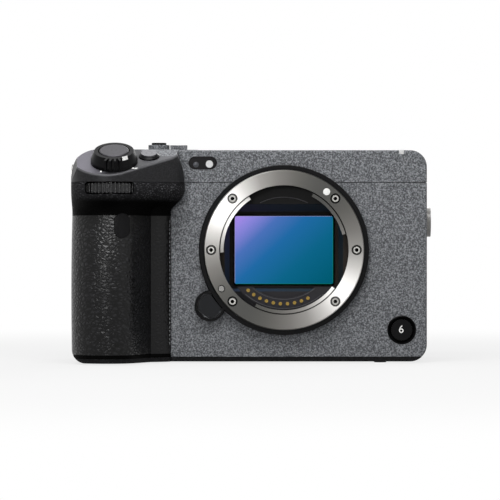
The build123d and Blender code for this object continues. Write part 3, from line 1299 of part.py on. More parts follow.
def make_monitor_bracket():
    """The two fixed knuckles and the upright pin that the monitor swings on."""
    foot = Plane((HINGE_X, HINGE_Y, BRACKET_LOW))
    shape = Solid.make_cylinder(MONITOR_PIN_R, BRACKET_HIGH - BRACKET_LOW, foot)
    for low, high in ((BRACKET_LOW, ARM_LOW - KNUCKLE_GAP), (ARM_HIGH + KNUCKLE_GAP, BRACKET_HIGH)):
        shape += disc_z(HINGE_X, HINGE_Y, HINGE_BARREL_R, low, high)
        shape += block(HINGE_X - HINGE_BARREL_R, HINGE_X + HINGE_BARREL_R, REAR_Y, HINGE_Y, low, high)
    return shape


def make_monitor_arm():
    """The arm between the swing pin and the monitor."""
    shape = disc_z(HINGE_X, HINGE_Y, HINGE_BARREL_R, ARM_LOW, ARM_HIGH)
    shape += block(HINGE_X - ARM_L, HINGE_X, HINGE_Y - ARM_T / 2, HINGE_Y + ARM_T / 2, ARM_LOW, ARM_HIGH)
    return shape - disc_z(HINGE_X, HINGE_Y, MONITOR_PIN_R + PIN_PLAY, ARM_LOW - 1, ARM_HIGH + 1)


def make_monitor_shell():
    """The monitor's housing, with a recess for its glass."""
    shape = block(MONITOR_LEFT, MONITOR_LEFT + MONITOR_W, MONITOR_Y, MONITOR_Y + MONITOR_T, MONITOR_LOW,
                  MONITOR_LOW + MONITOR_H)
    shape = fillet(shape.edges().filter_by(Axis.Y), MONITOR_CORNER_R)
    shape = fillet(shape.faces().sort_by(Axis.Y)[-1].edges(), MONITOR_EDGE_R)
    return shape - glass_block(PIN_PLAY, MONITOR_Y + MONITOR_T - GLASS_T, FAR)


def glass_block(grow, y0, y1):
    """The monitor glass's outline, grown by a margin."""
    x, z = MONITOR_LEFT + MONITOR_W / 2, MONITOR_LOW + MONITOR_H / 2
    rim = GLASS_RIM - grow
    outline = RectangleRounded(MONITOR_W - 2 * rim, MONITOR_H - 2 * rim, GLASS_CORNER_R + grow)
    return along_y(Pos(x, z) * outline, y0, y1)


def make_window():
    """The dark window of the remote receiver."""
    face = FRONT_Y - WINDOW_PROUD
    shape = along_y(stadium(WINDOW_X, WINDOW_Z, WINDOW_W, WINDOW_H), face, face + WINDOW_T)
    return shape - disc_y(LAMP_X, LAMP_Z, LAMP_R + LAMP_GAP, FRONT_Y - 1, FRONT_Y + LAMP_DEPTH)


def make_lamps():
    """The white status lamp in the window and the light bar on the upper edge."""
    bar = tally_block(0) & block(-FAR, FAR, FRONT_Y - BAR_PROUD, FAR, 0, TOP_Z + BAR_PROUD)
    return [disc_y(LAMP_X, LAMP_Z, LAMP_R, FRONT_Y - LAMP_PROUD, FRONT_Y + LAMP_DEPTH), bar]


def make_hot_shoe():
    """The accessory shoe: a floor and two lipped rails."""
    half, low = SHOE_W / 2 - SEAM, TOP_Z - SHOE_DEPTH
    y0, y1 = SHOE_Y - SHOE_L / 2 + SEAM, REAR_Y - SHOE_BACK_GAP
    high = TOP_Z - SHOE_SUNK
    shape = block(-half, half, y0, y1, low, low + SHOE_FLOOR)
    for side in (-1, 1):
        wall = sorted((side * (half - SHOE_WALL), side * half))
        lip = sorted((side * (half - SHOE_LIP), side * half))
        shape += block(wall[0], wall[1], y0, y0 + SHOE_L, low, high)
        shape += block(lip[0], lip[1], y0, y0 + SHOE_L, high - SHOE_LIP_T, high)
    return shape


def make_thread_inserts():
    """The steel thread inserts: tripod socket, two in the top and one in each side."""
    inserts = [insert(disc_z, 0, 0, -SEAM / 2, INSERT_DEPTH + TRIPOD_INSERT_EXTRA, INSERT_R)]
    for x, y in TOP_THREADS:
        inserts.append(insert(disc_z, x, y, TOP_Z - INSERT_DEPTH, TOP_Z, INSERT_R))
    left_root, right_root = BODY_LEFT + INSERT_DEPTH - UNIT_GAP, BODY_RIGHT - WALL - BOSS_INSERT_ROOT
    inserts.append(insert(disc_x, LEFT_BOSS_Y, LEFT_BOSS_Z, LEFT_BOSS_X, left_root, LEFT_BOSS_R))
    inserts.append(insert(disc_x, RIGHT_BOSS_Y, RIGHT_BOSS_Z, right_root, RIGHT_BOSS_X, RIGHT_BOSS_R))
    return inserts


def insert(disc, a, b, low, high, outer):
    """A round bush with a plain thread bore from end to end."""
    return disc(a, b, outer, low, high) - disc(a, b, THREAD_R, low - 1, high + 1)


def pieces():
    """Every named piece of the camera."""
    island_top = TOP_Z + ISLAND_H
    pin_x, pin_z = on_circle(LOCK_PIN_CIRCLE, LOCK_PIN_ANGLE)
    release_z = LENS_Z - LENS_RELEASE_DROP
    release_r = LENS_RELEASE_R - LENS_RELEASE_GAP
    release_face = FLANGE_Y + COLLAR_DROP + RELEASE_FACE_SUNK
    release = disc_y(LENS_RELEASE_X, release_z, release_r, release_face, RELEASE_BACK_Y)
    slider_x = POWER_X - POWER_TRACK_L / 2 + POWER_TRACK_RIM + FIT
    slider_z = TOP_Z + POWER_TRACK_H - POWER_SINK + FIT
    return {
        "front_cover": make_front_cover(),
        "top_cover": make_top_cover(),
        "rear_cover": make_rear_cover(),
        "base_plate": make_base_plate(),
        "grip_shell": make_grip_shell(),
        "grip_head": make_grip_head(),
        "grip_skin": make_grip_skin(),
        "grip_plug": make_grip_plug(),
        "chassis": make_chassis(),
        "mount_collar": make_mount_collar(),
        "mount_ring": make_mount_ring(),
        "screws": make_screws(),
        "contact_block": make_contact_block(),
        "contact_pins": make_contact_pins(),
        "light_baffle": make_light_baffle(),
        "lens_release_button": release - lens_disc(COLLAR_R + FIT, -FAR, FAR),
        "lock_pin": disc_y(pin_x, pin_z, LOCK_PIN_R, FLANGE_Y - LOCK_PIN_PROUD,
                           MOUNT_SEAT_Y + LOCK_PIN_ROOT),
        "sensor_frame": make_sensor_frame(),
        "sensor_package": gate(PACKAGE_W, PACKAGE_H, SENSOR_Y, SENSOR_Y + PACKAGE_T),
        "sensor_glass": make_sensor_glass(),
        "shutter_frame": make_shutter_frame(),
        "shutter_leaf_low": shutter_leaf(LOW_LEAF_DEPTH),
        "shutter_leaf_high": shutter_leaf(HIGH_LEAF_DEPTH),
        "main_board": make_main_board(),
        "heat_sink": make_heat_sink(),
        "fan_rotor": make_fan_rotor(),
        "battery": make_battery(),
        "battery_holder": make_battery_holder(),
        "battery_door": make_battery_door(),
        "battery_latch": make_battery_latch(),
        "door_pins": make_door_pins(),
        "card_door": make_side_door("card_door"),
        "port_door_upper": make_side_door("port_door_upper"),
        "port_door_lower": make_side_door("port_door_lower"),
        "card_slots": make_card_slots(),
        "sockets": make_sockets(),
        "shutter_button": make_shutter_button(),
        "release_lever": make_release_lever(),
        "grip_button": deck_disc(GRIP_BUTTON_X, GRIP_BUTTON_Y, GRIP_BUTTON_R,
                                 BUTTON_TRAVEL + GRIP_BUTTON_PROUD - BUTTON_WELL,
                                 GRIP_BEZEL_H + GRIP_BUTTON_PROUD),
        "button_bezels": make_button_bezels(),
        "front_dial": ribbed_dial(FRONT_DIAL_X, front_dial_y(), FRONT_DIAL_Z, FRONT_DIAL_R, FRONT_DIAL_H),
        "rear_dial": ribbed_dial(REAR_DIAL_X, rear_dial_y(), REAR_DIAL_Z, REAR_DIAL_R, REAR_DIAL_H),
        "dial_axles": make_dial_axles(),
        "record_button_top": disc_z(REC_TOP_X, REC_TOP_Y, REC_TOP_R,
                                    island_top - BUTTON_SINK + BUTTON_TRAVEL + BUTTON_REST_GAP,
                                    island_top + REC_TOP_PROUD),
        "record_button_front": disc_y(REC_FRONT_X, REC_FRONT_Z, REC_FRONT_R, FRONT_Y - REC_FRONT_PROUD,
                                      FRONT_Y + WALL - REC_FRONT_ROOM - BUTTON_TRAVEL),
        "power_slider": block(slider_x, slider_x + POWER_L, REC_TOP_Y - POWER_W / 2, REC_TOP_Y + POWER_W / 2,
                              slider_z, TOP_Z + POWER_TOP),
        "control_wheel": make_control_wheel(),
        "wheel_button": disc_y(WHEEL_X, WHEEL_Z, WHEEL_BUTTON_R,
                               REAR_Y - WHEEL_SINK + BUTTON_TRAVEL + WHEEL_BUTTON_GAP,
                               REAR_Y + WHEEL_PROUD + WHEEL_BUTTON_PROUD),
        "joystick": make_joystick(),
        "joystick_gimbal": make_joystick_gimbal(),
        "menu_button": rear_button("menu_button"),
        "view_button": rear_button("view_button"),
        "monitor_bracket": make_monitor_bracket(),
        "monitor_arm": make_monitor_arm(),
        "monitor_shell": make_monitor_shell(),
        "monitor_glass": glass_block(0.0, MONITOR_Y + MONITOR_T - GLASS_T, MONITOR_Y + MONITOR_T),
        "window": make_window(),
        "lamps": make_lamps(),
        "hot_shoe": make_hot_shoe(),
        "thread_inserts": make_thread_inserts(),
    }


def save(name, shape):
    """Writes one named piece, which may be a list of separate solids."""
    if isinstance(shape, list):
        shape = Compound(children=[Compound(item.solids()) for item in shape])
    export_step(shape, f"parts/{name}.step")


if __name__ == "__main__":
    os.makedirs("parts", exist_ok=True)
    for name, shape in pieces().items():
        save(name, shape)
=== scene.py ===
# %% [markdown]
# # A compact cinema camera body
# The frame brings in the engineering model: every cover, dial, door and screw at its real size, in metres.
# Here the pieces get their finishes, and the small things that are paint, print or trim are modelled.

# %% Load the frame
import math

import bmesh
import bpy
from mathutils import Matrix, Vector


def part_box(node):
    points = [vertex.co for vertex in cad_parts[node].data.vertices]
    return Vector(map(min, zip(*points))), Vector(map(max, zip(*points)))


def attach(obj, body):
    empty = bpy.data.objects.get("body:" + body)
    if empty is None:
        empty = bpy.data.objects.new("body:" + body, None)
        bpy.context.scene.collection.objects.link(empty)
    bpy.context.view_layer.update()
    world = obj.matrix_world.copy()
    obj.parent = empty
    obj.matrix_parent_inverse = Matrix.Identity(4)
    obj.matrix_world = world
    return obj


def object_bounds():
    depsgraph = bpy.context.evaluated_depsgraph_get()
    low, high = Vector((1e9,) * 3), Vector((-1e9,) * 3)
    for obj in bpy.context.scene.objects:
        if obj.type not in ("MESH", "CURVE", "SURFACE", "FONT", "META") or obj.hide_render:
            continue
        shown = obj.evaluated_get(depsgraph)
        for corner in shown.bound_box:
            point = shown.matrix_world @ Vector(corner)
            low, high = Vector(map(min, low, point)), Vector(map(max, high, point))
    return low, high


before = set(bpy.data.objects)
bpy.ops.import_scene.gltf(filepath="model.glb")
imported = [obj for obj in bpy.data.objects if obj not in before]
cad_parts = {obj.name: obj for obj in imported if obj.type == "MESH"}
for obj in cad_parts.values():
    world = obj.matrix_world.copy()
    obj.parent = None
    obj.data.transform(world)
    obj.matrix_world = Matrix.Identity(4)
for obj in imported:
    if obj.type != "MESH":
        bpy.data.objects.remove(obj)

cad_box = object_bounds()
bpy.ops.object.select_all(action="DESELECT")

# %% [markdown]
# ## Sizes that the finishes need
# The lens axis and the flange plane are the landmarks of a camera, so everything on the mount is placed
# from them. Some other places are read from the boxes of the nodes that carry the piece, and the rest
# are given as numbers.

# %% Landmarks
MM = 0.001
LENS_AXIS_Z = 39.8 * MM
LENS_CENTRE = (0, 0, LENS_AXIS_Z)
FLANGE_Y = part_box("mount_ring")[0][1]
print("lens axis at z", round(LENS_AXIS_Z / MM, 2), "mm, flange plane at y", round(FLANGE_Y / MM, 2), "mm")

# %% [markdown]
# ## Colours and nodes
# A colour is picked as the eye sees it, in sRGB, but a renderer adds light up in linear values, so each
# hex value is converted once. One helper adds any node, sets its values and links its inputs, which
# keeps the recipe of each material readable.

# %% Helpers for materials
def linear(hex_value):
    """An sRGB hex value as linear red, green, blue and alpha."""
    channels = [int(hex_value[i:i + 2], 16) / 255 for i in (1, 3, 5)]
    return [c / 12.92 if c <= 0.04045 else ((c + 0.055) / 1.055) ** 2.4 for c in channels] + [1.0]


def add(tree, kind, settings=None, links=None, stops=()):
    """Adds a node with its settings and links, and the stops of its colour band as (place, hex)."""
    node = tree.nodes.new(kind)
    for name, value in (settings or {}).items():
        if isinstance(name, str) and name not in node.inputs:
            setattr(node, name, value)
        else:
            node.inputs[name].default_value = value
    for name, source in (links or {}).items():
        tree.links.new(source, node.inputs[name])
    for number, (place, colour) in enumerate(stops):
        band = node.color_ramp.elements
        element = band[number] if number < len(band) else band.new(place)
        element.position = place
        element.color = linear(colour)
    return node


def new_material(name):
    """An empty material and its node tree."""
    material = bpy.data.materials.new(name)
    material.use_nodes = True
    material.node_tree.nodes.clear()
    return material, material.node_tree


def per(size_mm):
    """The scale of a texture whose features are size_mm across."""
    return 1 / (size_mm * MM)


print("mid grey #808080 in linear values:", [round(value, 3) for value in linear("#808080")])

# %% [markdown]
# ## Powder coat on the magnesium covers
# The front and top covers are die-cast magnesium under a baked powder coat. The powder leaves a fine
# orange peel and pale and dark flecks. The real flecks are a fifth of a millimetre wide, which is finer
# than a point of the picture, so they are drawn half a millimetre wide here to show at all. Two noises at
# different sizes give the flecks and the peel. Only some of the powder is glossy, so the sheen stays low.

# %% Powder coat
FLECK_MM = 0.52
PEEL_MM = 0.8


def powder_coat(name, stops, sheen):
    material, tree = new_material(name)
    place = add(tree, "ShaderNodeTexCoord").outputs["Object"]
    flecks = add(tree, "ShaderNodeTexNoise", {"Scale": per(FLECK_MM), "Detail": 2.0}, {"Vector": place})
    colour = add(tree, "ShaderNodeValToRGB", {}, {"Fac": flecks.outputs["Fac"]}, stops)
    peel = add(tree, "ShaderNodeTexNoise", {"Scale": per(PEEL_MM), "Detail": 2.0}, {"Vector": place})
    normal = add(tree, "ShaderNodeBump", {"Strength": 0.6, "Distance": 0.12 * MM},
                 {"Height": peel.outputs["Fac"]})
    shader = add(tree, "ShaderNodeBsdfPrincipled", {"Roughness": 0.6, "Specular IOR Level": sheen},
                 {"Base Color": colour.outputs["Color"], "Normal": normal.outputs["Normal"]})
    add(tree, "ShaderNodeOutputMaterial", {}, {"Surface": shader.outputs[0]})
    return material


GREY_FLECKS = ((0.34, "#3a3b3e"), (0.5, "#5c5e61"), (0.66, "#86888c"))
BLACK_FLECKS = ((0.34, "#070708"), (0.5, "#0e0e0f"), (0.66, "#1a1a1c"))
grey_powder_coat = powder_coat("powder_coated_magnesium_grey", GREY_FLECKS, 0.25)
black_powder_coat = powder_coat("powder_coated_magnesium_black", BLACK_FLECKS, 0.08)
print("powder coats with flecks", FLECK_MM, "mm wide and a peel of", PEEL_MM, "mm")

# %% [markdown]
# ## Painted deck on the grip's head
# The sloping deck that carries the shutter button is painted a smooth dark grey, with a painted sheen that
# makes it lighter and a little violet at its outer end. Its high inner corner carries the covers' grey
# powder coat, the walls of the head below it stay black, and the edge between them gets a painted
# highlight, a pale band where the rounded edge would catch the light. All four lie on one moulding, so the
# height over the deck's plane and the place on the deck tell the shader which finish a point has.

# %% Deck paint
DECK_TILT = math.radians(26.0)
DECK_START_Y, DECK_START_Z = -28.2 * MM, 75.5 * MM
POWDER_CORNER_Z = 72.9 * MM
POWDER_CORNER_X = -50.5 * MM
PAINT_LOW, PAINT_HIGH = -0.12 * MM, -0.04 * MM
# Heights under the deck's plane of the painted highlight along the deck's front edge
EDGE_HIGHLIGHT_LOW, EDGE_HIGHLIGHT_HIGH = -0.9 * MM, -0.2 * MM
DECK_OUTER_X, DECK_INNER_X = -70 * MM, -42 * MM
# Tone of the smooth paint from the deck's outer end to its inner end, with a painted sheen that lightens the
# outer end
DECK_TONES_AND_SHEEN = ((0.0, "#5d5b63"), (0.22, "#4a494e"), (0.3, "#29292b"), (0.62, "#38383a"), (1.0, "#4c4c4f"))
WALL_FLECKS = ((0.36, "#151516"), (0.64, "#232325"))
# Pale tone of the painted highlight on the deck's edge, where a rounded edge would catch the light
EDGE_HIGHLIGHT_TONE = "#6f6f72"
DECK_PEEL_MM = 0.5


def deck_painted_head():
    material, tree = new_material("painted_deck_on_black_head")
    place = add(tree, "ShaderNodeTexCoord").outputs["Object"]
    split = add(tree, "ShaderNodeSeparateXYZ", {}, {0: place})
    # The height over the deck's plane is z, less the fall of the plane at that y
    slope = math.tan(DECK_TILT)
    fall = add(tree, "ShaderNodeMath",
               {"operation": "MULTIPLY_ADD", 1: -slope, 2: slope * DECK_START_Y - DECK_START_Z},
               {0: split.outputs["Y"]})
    height = add(tree, "ShaderNodeMath", {"operation": "ADD"}, {0: split.outputs["Z"], 1: fall.outputs[0]})
    painted = add(tree, "ShaderNodeMapRange", {"From Min": PAINT_LOW, "From Max": PAINT_HIGH},
                  {"Value": height.outputs[0]})
    # Painted highlight: a pale band just under the deck's plane, along its edge
    edge_highlight = add(tree, "ShaderNodeMapRange", {"From Min": EDGE_HIGHLIGHT_LOW, "From Max": EDGE_HIGHLIGHT_HIGH, "To Max": 0.9},
                 {"Value": height.outputs[0]})
    inwards = add(tree, "ShaderNodeMapRange", {"From Min": DECK_OUTER_X, "From Max": DECK_INNER_X},
                  {"Value": split.outputs["X"]})
    # Smooth paint tone along the deck, with the painted sheen at its outer end
    smooth = add(tree, "ShaderNodeValToRGB", {}, {"Fac": inwards.outputs["Result"]}, DECK_TONES_AND_SHEEN)
    flecks = add(tree, "ShaderNodeTexNoise", {"Scale": per(FLECK_MM), "Detail": 2.0}, {"Vector": place})
    powder = add(tree, "ShaderNodeValToRGB", {}, {"Fac": flecks.outputs["Fac"]}, GREY_FLECKS)
    black = add(tree, "ShaderNodeValToRGB", {}, {"Fac": flecks.outputs["Fac"]}, WALL_FLECKS)
    high = add(tree, "ShaderNodeMath", {"operation": "GREATER_THAN", 1: POWDER_CORNER_Z},
               {0: split.outputs["Z"]})
    inner = add(tree, "ShaderNodeMath", {"operation": "GREATER_THAN", 1: POWDER_CORNER_X},
                {0: split.outputs["X"]})
    corner = add(tree, "ShaderNodeMath", {"operation": "MULTIPLY"}, {0: high.outputs[0], 1: inner.outputs[0]})
    deck = add(tree, "ShaderNodeMix", {"data_type": "RGBA"},
               {0: corner.outputs[0], 6: smooth.outputs[0], 7: powder.outputs[0]})
    wall = add(tree, "ShaderNodeMix", {"data_type": "RGBA", 7: linear(EDGE_HIGHLIGHT_TONE)},
               {0: edge_highlight.outputs[0], 6: black.outputs[0]})
    colour = add(tree, "ShaderNodeMix", {"data_type": "RGBA"},
                 {0: painted.outputs[0], 6: wall.outputs[2], 7: deck.outputs[2]})
    peel = add(tree, "ShaderNodeTexNoise", {"Scale": per(DECK_PEEL_MM), "Detail": 2.0}, {"Vector": place})
    normal = add(tree, "ShaderNodeBump", {"Strength": 0.3, "Distance": 0.05 * MM},
                 {"Height": peel.outputs["Fac"]})
    shader = add(tree, "ShaderNodeBsdfPrincipled", {"Roughness": 0.42, "Specular IOR Level": 0.16},
                 {"Base Color": colour.outputs[2], "Normal": normal.outputs["Normal"]})
    add(tree, "ShaderNodeOutputMaterial", {}, {"Surface": shader.outputs[0]})
    return material


painted_head = deck_painted_head()
print("deck tilted", round(math.degrees(DECK_TILT), 1), "degrees, powder coat above z",
      round(POWDER_CORNER_Z / MM, 1), "mm")

# %% [markdown]
# ## Moulded plastics
# Buttons and doors are moulded ABS with a spark-eroded texture: matt, with a faint sheen at grazing
# light. The dials and the collar are smoother. The circuit board's green mask and the white enamel of
# the marks are thin skins with the same kind of fine grain, so one recipe serves them all: only the
# tone, the gloss and the size and depth of the grain differ.

# %% Moulded plastics
def moulded_plastic(name, dark, light, roughness, sheen, texture_mm=0.25, strength=0.25):
    material, tree = new_material(name)
    place = add(tree, "ShaderNodeTexCoord").outputs["Object"]
    texture = add(tree, "ShaderNodeTexNoise", {"Scale": per(texture_mm), "Detail": 2.0}, {"Vector": place})
    tone = add(tree, "ShaderNodeValToRGB", {}, {"Fac": texture.outputs["Fac"]}, ((0.35, dark), (0.65, light)))
    normal = add(tree, "ShaderNodeBump", {"Strength": strength, "Distance": 0.03 * MM},
                 {"Height": texture.outputs["Fac"]})
    shader = add(tree, "ShaderNodeBsdfPrincipled", {"Roughness": roughness, "Specular IOR Level": sheen},
                 {"Base Color": tone.outputs["Color"], "Normal": normal.outputs["Normal"]})
    add(tree, "ShaderNodeOutputMaterial", {}, {"Surface": shader.outputs[0]})
    return material


textured_abs = moulded_plastic("spark_textured_black_abs", "#0a0a0b", "#141415", 0.5, 0.08)
smooth_abs = moulded_plastic("satin_black_polycarbonate", "#060607", "#0c0c0d", 0.34, 0.08, 0.4, 0.08)
dial_black = moulded_plastic("knurled_dial_black_anodised", "#0d0d0e", "#19191b", 0.26, 0.4, 0.3, 0.1)
release_abs = moulded_plastic("lens_release_black_abs", "#161719", "#1e1f21", 0.45, 0.1)
battery_abs = moulded_plastic("battery_case_abs", "#232426", "#2f3032", 0.5, 0.15)
green_mask = moulded_plastic("solder_mask_green", "#0c2b18", "#123c22", 0.35, 0.2)
port_rubber = moulded_plastic("port_cover_rubber", "#0f0f10", "#181819", 0.7, 0.06, 0.3, 0.4)
white_enamel = moulded_plastic("white_enamel_paint", "#dededb", "#f2f2f0", 0.4, 0.2)
print("black plastics", [m.name for m in (textured_abs, smooth_abs, dial_black, release_abs)])

# %% [markdown]
# ## Leather-grain rubber
# The handle is covered in a soft elastomer with a leather grain: small pillows one to two millimetres
# across with creases between them. A Voronoi pattern's distance to the cell edges is exactly that
# shape, and a slow noise bends it so that no row lines up. The creases hold no light, so they get painted
# shade as well as depth. Each fade then paints shade by its place and flattens the grain there: on the skin
# in the finger recess towards the body and in the shadow up under the head, and on the moulding downwards
# into the hollow under the head.

# %% Leather-grain rubber
PILLOW_FLATNESS = 1.5
PILLOW_EDGE = 0.4
WANDER_MM, WANDER_REACH = 2.6, 1.3 * MM
FADED_RELIEF = 0.45


def grained_rubber(name, cell_mm, depth_mm, stops, shade_fades, roughness, sheen):
    """Each fade of painted shade gives an axis, where it starts and ends in mm, and the shade tone that it
    ends at.
    """
    material, tree = new_material(name)
    place = add(tree, "ShaderNodeTexCoord").outputs["Object"]
    wander = add(tree, "ShaderNodeTexNoise", {"Scale": per(WANDER_MM), "Detail": 2.0}, {"Vector": place})
    shift = add(tree, "ShaderNodeVectorMath", {"operation": "SCALE", "Scale": WANDER_REACH},
                {0: wander.outputs["Color"]})
    flattened = add(tree, "ShaderNodeMapping", {"Scale": (1.0, 1.0, PILLOW_FLATNESS)}, {"Vector": place})
    bent = add(tree, "ShaderNodeVectorMath", {"operation": "ADD"},
               {0: flattened.outputs[0], 1: shift.outputs[0]})
    cells = add(tree, "ShaderNodeTexVoronoi", {"feature": "DISTANCE_TO_EDGE", "Scale": per(cell_mm)},
                {"Vector": bent.outputs[0]})
    pillow = add(tree, "ShaderNodeMapRange", {"From Max": PILLOW_EDGE, "interpolation_type": "SMOOTHSTEP"},
                 {"Value": cells.outputs["Distance"]})
    pillow_tone = add(tree, "ShaderNodeValToRGB", {}, {"Fac": pillow.outputs["Result"]}, stops)
    split = add(tree, "ShaderNodeSeparateXYZ", {}, {0: place})
    colour = pillow_tone.outputs["Color"]
    height = pillow.outputs["Result"]
    # Painted shade: each fade darkens the tone towards its shade tone and flattens the pillows
    for axis, start, end, shade_tone in shade_fades:
        along = add(tree, "ShaderNodeMapRange",
                    {"From Min": start * MM, "From Max": end * MM, "interpolation_type": "SMOOTHSTEP"},
                    {"Value": split.outputs[axis]})
        colour = add(tree, "ShaderNodeMix", {"data_type": "RGBA", 7: linear(shade_tone)},
                     {0: along.outputs["Result"], 6: colour}).outputs[2]
        relief = add(tree, "ShaderNodeMapRange", {"To Min": 1.0, "To Max": FADED_RELIEF},
                     {"Value": along.outputs["Result"]})
        height = add(tree, "ShaderNodeMath", {"operation": "MULTIPLY"},
                     {0: height, 1: relief.outputs["Result"]}).outputs[0]
    normal = add(tree, "ShaderNodeBump", {"Distance": depth_mm * MM}, {"Height": height})
    shader = add(tree, "ShaderNodeBsdfPrincipled", {"Roughness": roughness, "Specular IOR Level": sheen},
                 {"Base Color": colour, "Normal": normal.outputs["Normal"]})
    add(tree, "ShaderNodeOutputMaterial", {}, {"Surface": shader.outputs[0]})
    return material


# Painted shade in the finger recess towards the body and in the shadow under the head
leather_rubber = grained_rubber("leather_grain_elastomer_black", 1.8, 0.15,
                                ((0.0, "#030303"), (0.45, "#0f0f10"), (1.0, "#1e1e20")),
                                (("X", -52, -46, "#060607"), ("Z", 47, 51.5, "#020202")), 0.29, 0.21)
# Painted shade in the hollow under the head, darker downwards
fine_grain = grained_rubber("fine_grain_moulded_grip_black", 1.0, 0.14,
                            ((0.0, "#1c1c1d"), (0.5, "#303032"), (1.0, "#474749")),
                            (("Z", 59.5, 56.5, "#030303"),), 0.5, 0.02)
print("grained rubbers", leather_rubber.name, "and", fine_grain.name)

# %% [markdown]
# ## Turned steel
# The mount ring is turned on a lathe and then blasted, so light gathers in fans that run out from the
# axis. The fans are painted highlights, a slow change of tone round the axis, with very fine rings across
# it. Below the land, the ring's inner wall is in its own shade, and the bayonet tabs behind it are bright
# again. The shade in the gap round the lens lock's pin is painted as a black ring. The real gap is finer
# than a point of the picture, so the painted ring is a little wider.

# %% Turned steel
# Painted highlights: tone by the sine of the angle from the line on which the two bright fans lie
MOUNT_PAINTED_FANS = ((0.0, "#f3f1ee"), (0.17, "#e4e2df"), (0.36, "#b8b6b3"), (0.58, "#878582"), (0.77, "#6c6a67"),
              (0.93, "#555451"), (1.0, "#494947"))
PAINTED_FAN_LINE = math.radians(145)
TAB_EDGE = 22.66 * MM
LAND_EDGE_Y, WALL_SHADE_Y, WALL_LIGHT = FLANGE_Y + 0.05 * MM, FLANGE_Y + 0.45 * MM, 0.12
LATHE_RING_MM = 0.12
pin_low, pin_high = (Vector(corner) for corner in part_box("lock_pin"))
PIN_MIDDLE = ((pin_low.x + pin_high.x) / 2, FLANGE_Y, (pin_low.z + pin_high.z) / 2)
# Radius of the painted shade round the lens lock's pin, wider than the real gap
PIN_SHADE_RADIUS = (pin_high.x - pin_low.x) / 2 + 0.28 * MM


def turned_steel():
    material, tree = new_material("turned_stainless_steel")
    place = add(tree, "ShaderNodeTexCoord").outputs["Object"]
    centred = add(tree, "ShaderNodeVectorMath", {"operation": "SUBTRACT", 1: LENS_CENTRE}, {0: place})
    split = add(tree, "ShaderNodeSeparateXYZ", {}, {0: centred.outputs[0]})
    angle = add(tree, "ShaderNodeMath", {"operation": "ARCTAN2"},
                {0: split.outputs["Z"], 1: split.outputs["X"]})
    turned = add(tree, "ShaderNodeMath", {"operation": "SUBTRACT", 1: PAINTED_FAN_LINE}, {0: angle.outputs[0]})
    sine = add(tree, "ShaderNodeMath", {"operation": "SINE"}, {0: turned.outputs[0]})
    off_line = add(tree, "ShaderNodeMath", {"operation": "ABSOLUTE"}, {0: sine.outputs[0]})
    # Painted highlights in two bright fans round the lens axis
    fans = add(tree, "ShaderNodeValToRGB", {}, {"Fac": off_line.outputs[0]}, MOUNT_PAINTED_FANS)
    flat = add(tree, "ShaderNodeCombineXYZ", {}, {"X": split.outputs["X"], "Z": split.outputs["Z"]})
    radius = add(tree, "ShaderNodeVectorMath", {"operation": "LENGTH"}, {0: flat.outputs[0]})
    depth = add(tree, "ShaderNodeMapRange",
                {"From Min": LAND_EDGE_Y, "From Max": WALL_SHADE_Y, "To Min": 1.0, "To Max": WALL_LIGHT},
                {"Value": split.outputs["Y"]})
    tab = add(tree, "ShaderNodeMath", {"operation": "LESS_THAN", 1: TAB_EDGE}, {0: radius.outputs["Value"]})
    lit = add(tree, "ShaderNodeMath", {"operation": "MAXIMUM"}, {0: depth.outputs[0], 1: tab.outputs[0]})
    # Painted shade: a black ring round the lens lock's pin
    from_pin = add(tree, "ShaderNodeVectorMath", {"operation": "DISTANCE", 1: PIN_MIDDLE}, {0: place})
    off_pin_shade = add(tree, "ShaderNodeMath", {"operation": "GREATER_THAN", 1: PIN_SHADE_RADIUS},
                  {0: from_pin.outputs["Value"]})
    shown = add(tree, "ShaderNodeMath", {"operation": "MULTIPLY"}, {0: lit.outputs[0], 1: off_pin_shade.outputs[0]})
    tone = add(tree, "ShaderNodeMix", {"data_type": "RGBA", 6: linear("#000000")},
               {0: shown.outputs[0], 7: fans.outputs["Color"]})
    rings = add(tree, "ShaderNodeTexNoise",
                {"noise_dimensions": "1D", "Scale": per(LATHE_RING_MM), "Detail": 1.0},
                {"W": radius.outputs["Value"]})
    normal = add(tree, "ShaderNodeBump", {"Strength": 0.12, "Distance": 0.01 * MM},
                 {"Height": rings.outputs["Fac"]})
    shader = add(tree, "ShaderNodeBsdfPrincipled", {"Metallic": 1.0, "Roughness": 0.36},
                 {"Base Color": tone.outputs[2], "Normal": normal.outputs["Normal"]})
    add(tree, "ShaderNodeOutputMaterial", {}, {"Surface": shader.outputs[0]})
    return material


mount_steel = turned_steel()
print("bright fans on the line at", round(math.degrees(PAINTED_FAN_LINE)), "degrees round the lens axis")

# %% [markdown]
# ## Plain metals
# Screws, pins and bushes are small, so a fine brushed noise is enough. The mount screws stand in wells
# and have a socket: below their face there is no light, so the steel goes dark with depth there.

# %% Plain metals
WELL_START_Y, WELL_DARK_Y = FLANGE_Y + 0.6 * MM, FLANGE_Y + 0.75 * MM
BASE_SCREWS_TOP_Z = 5 * MM


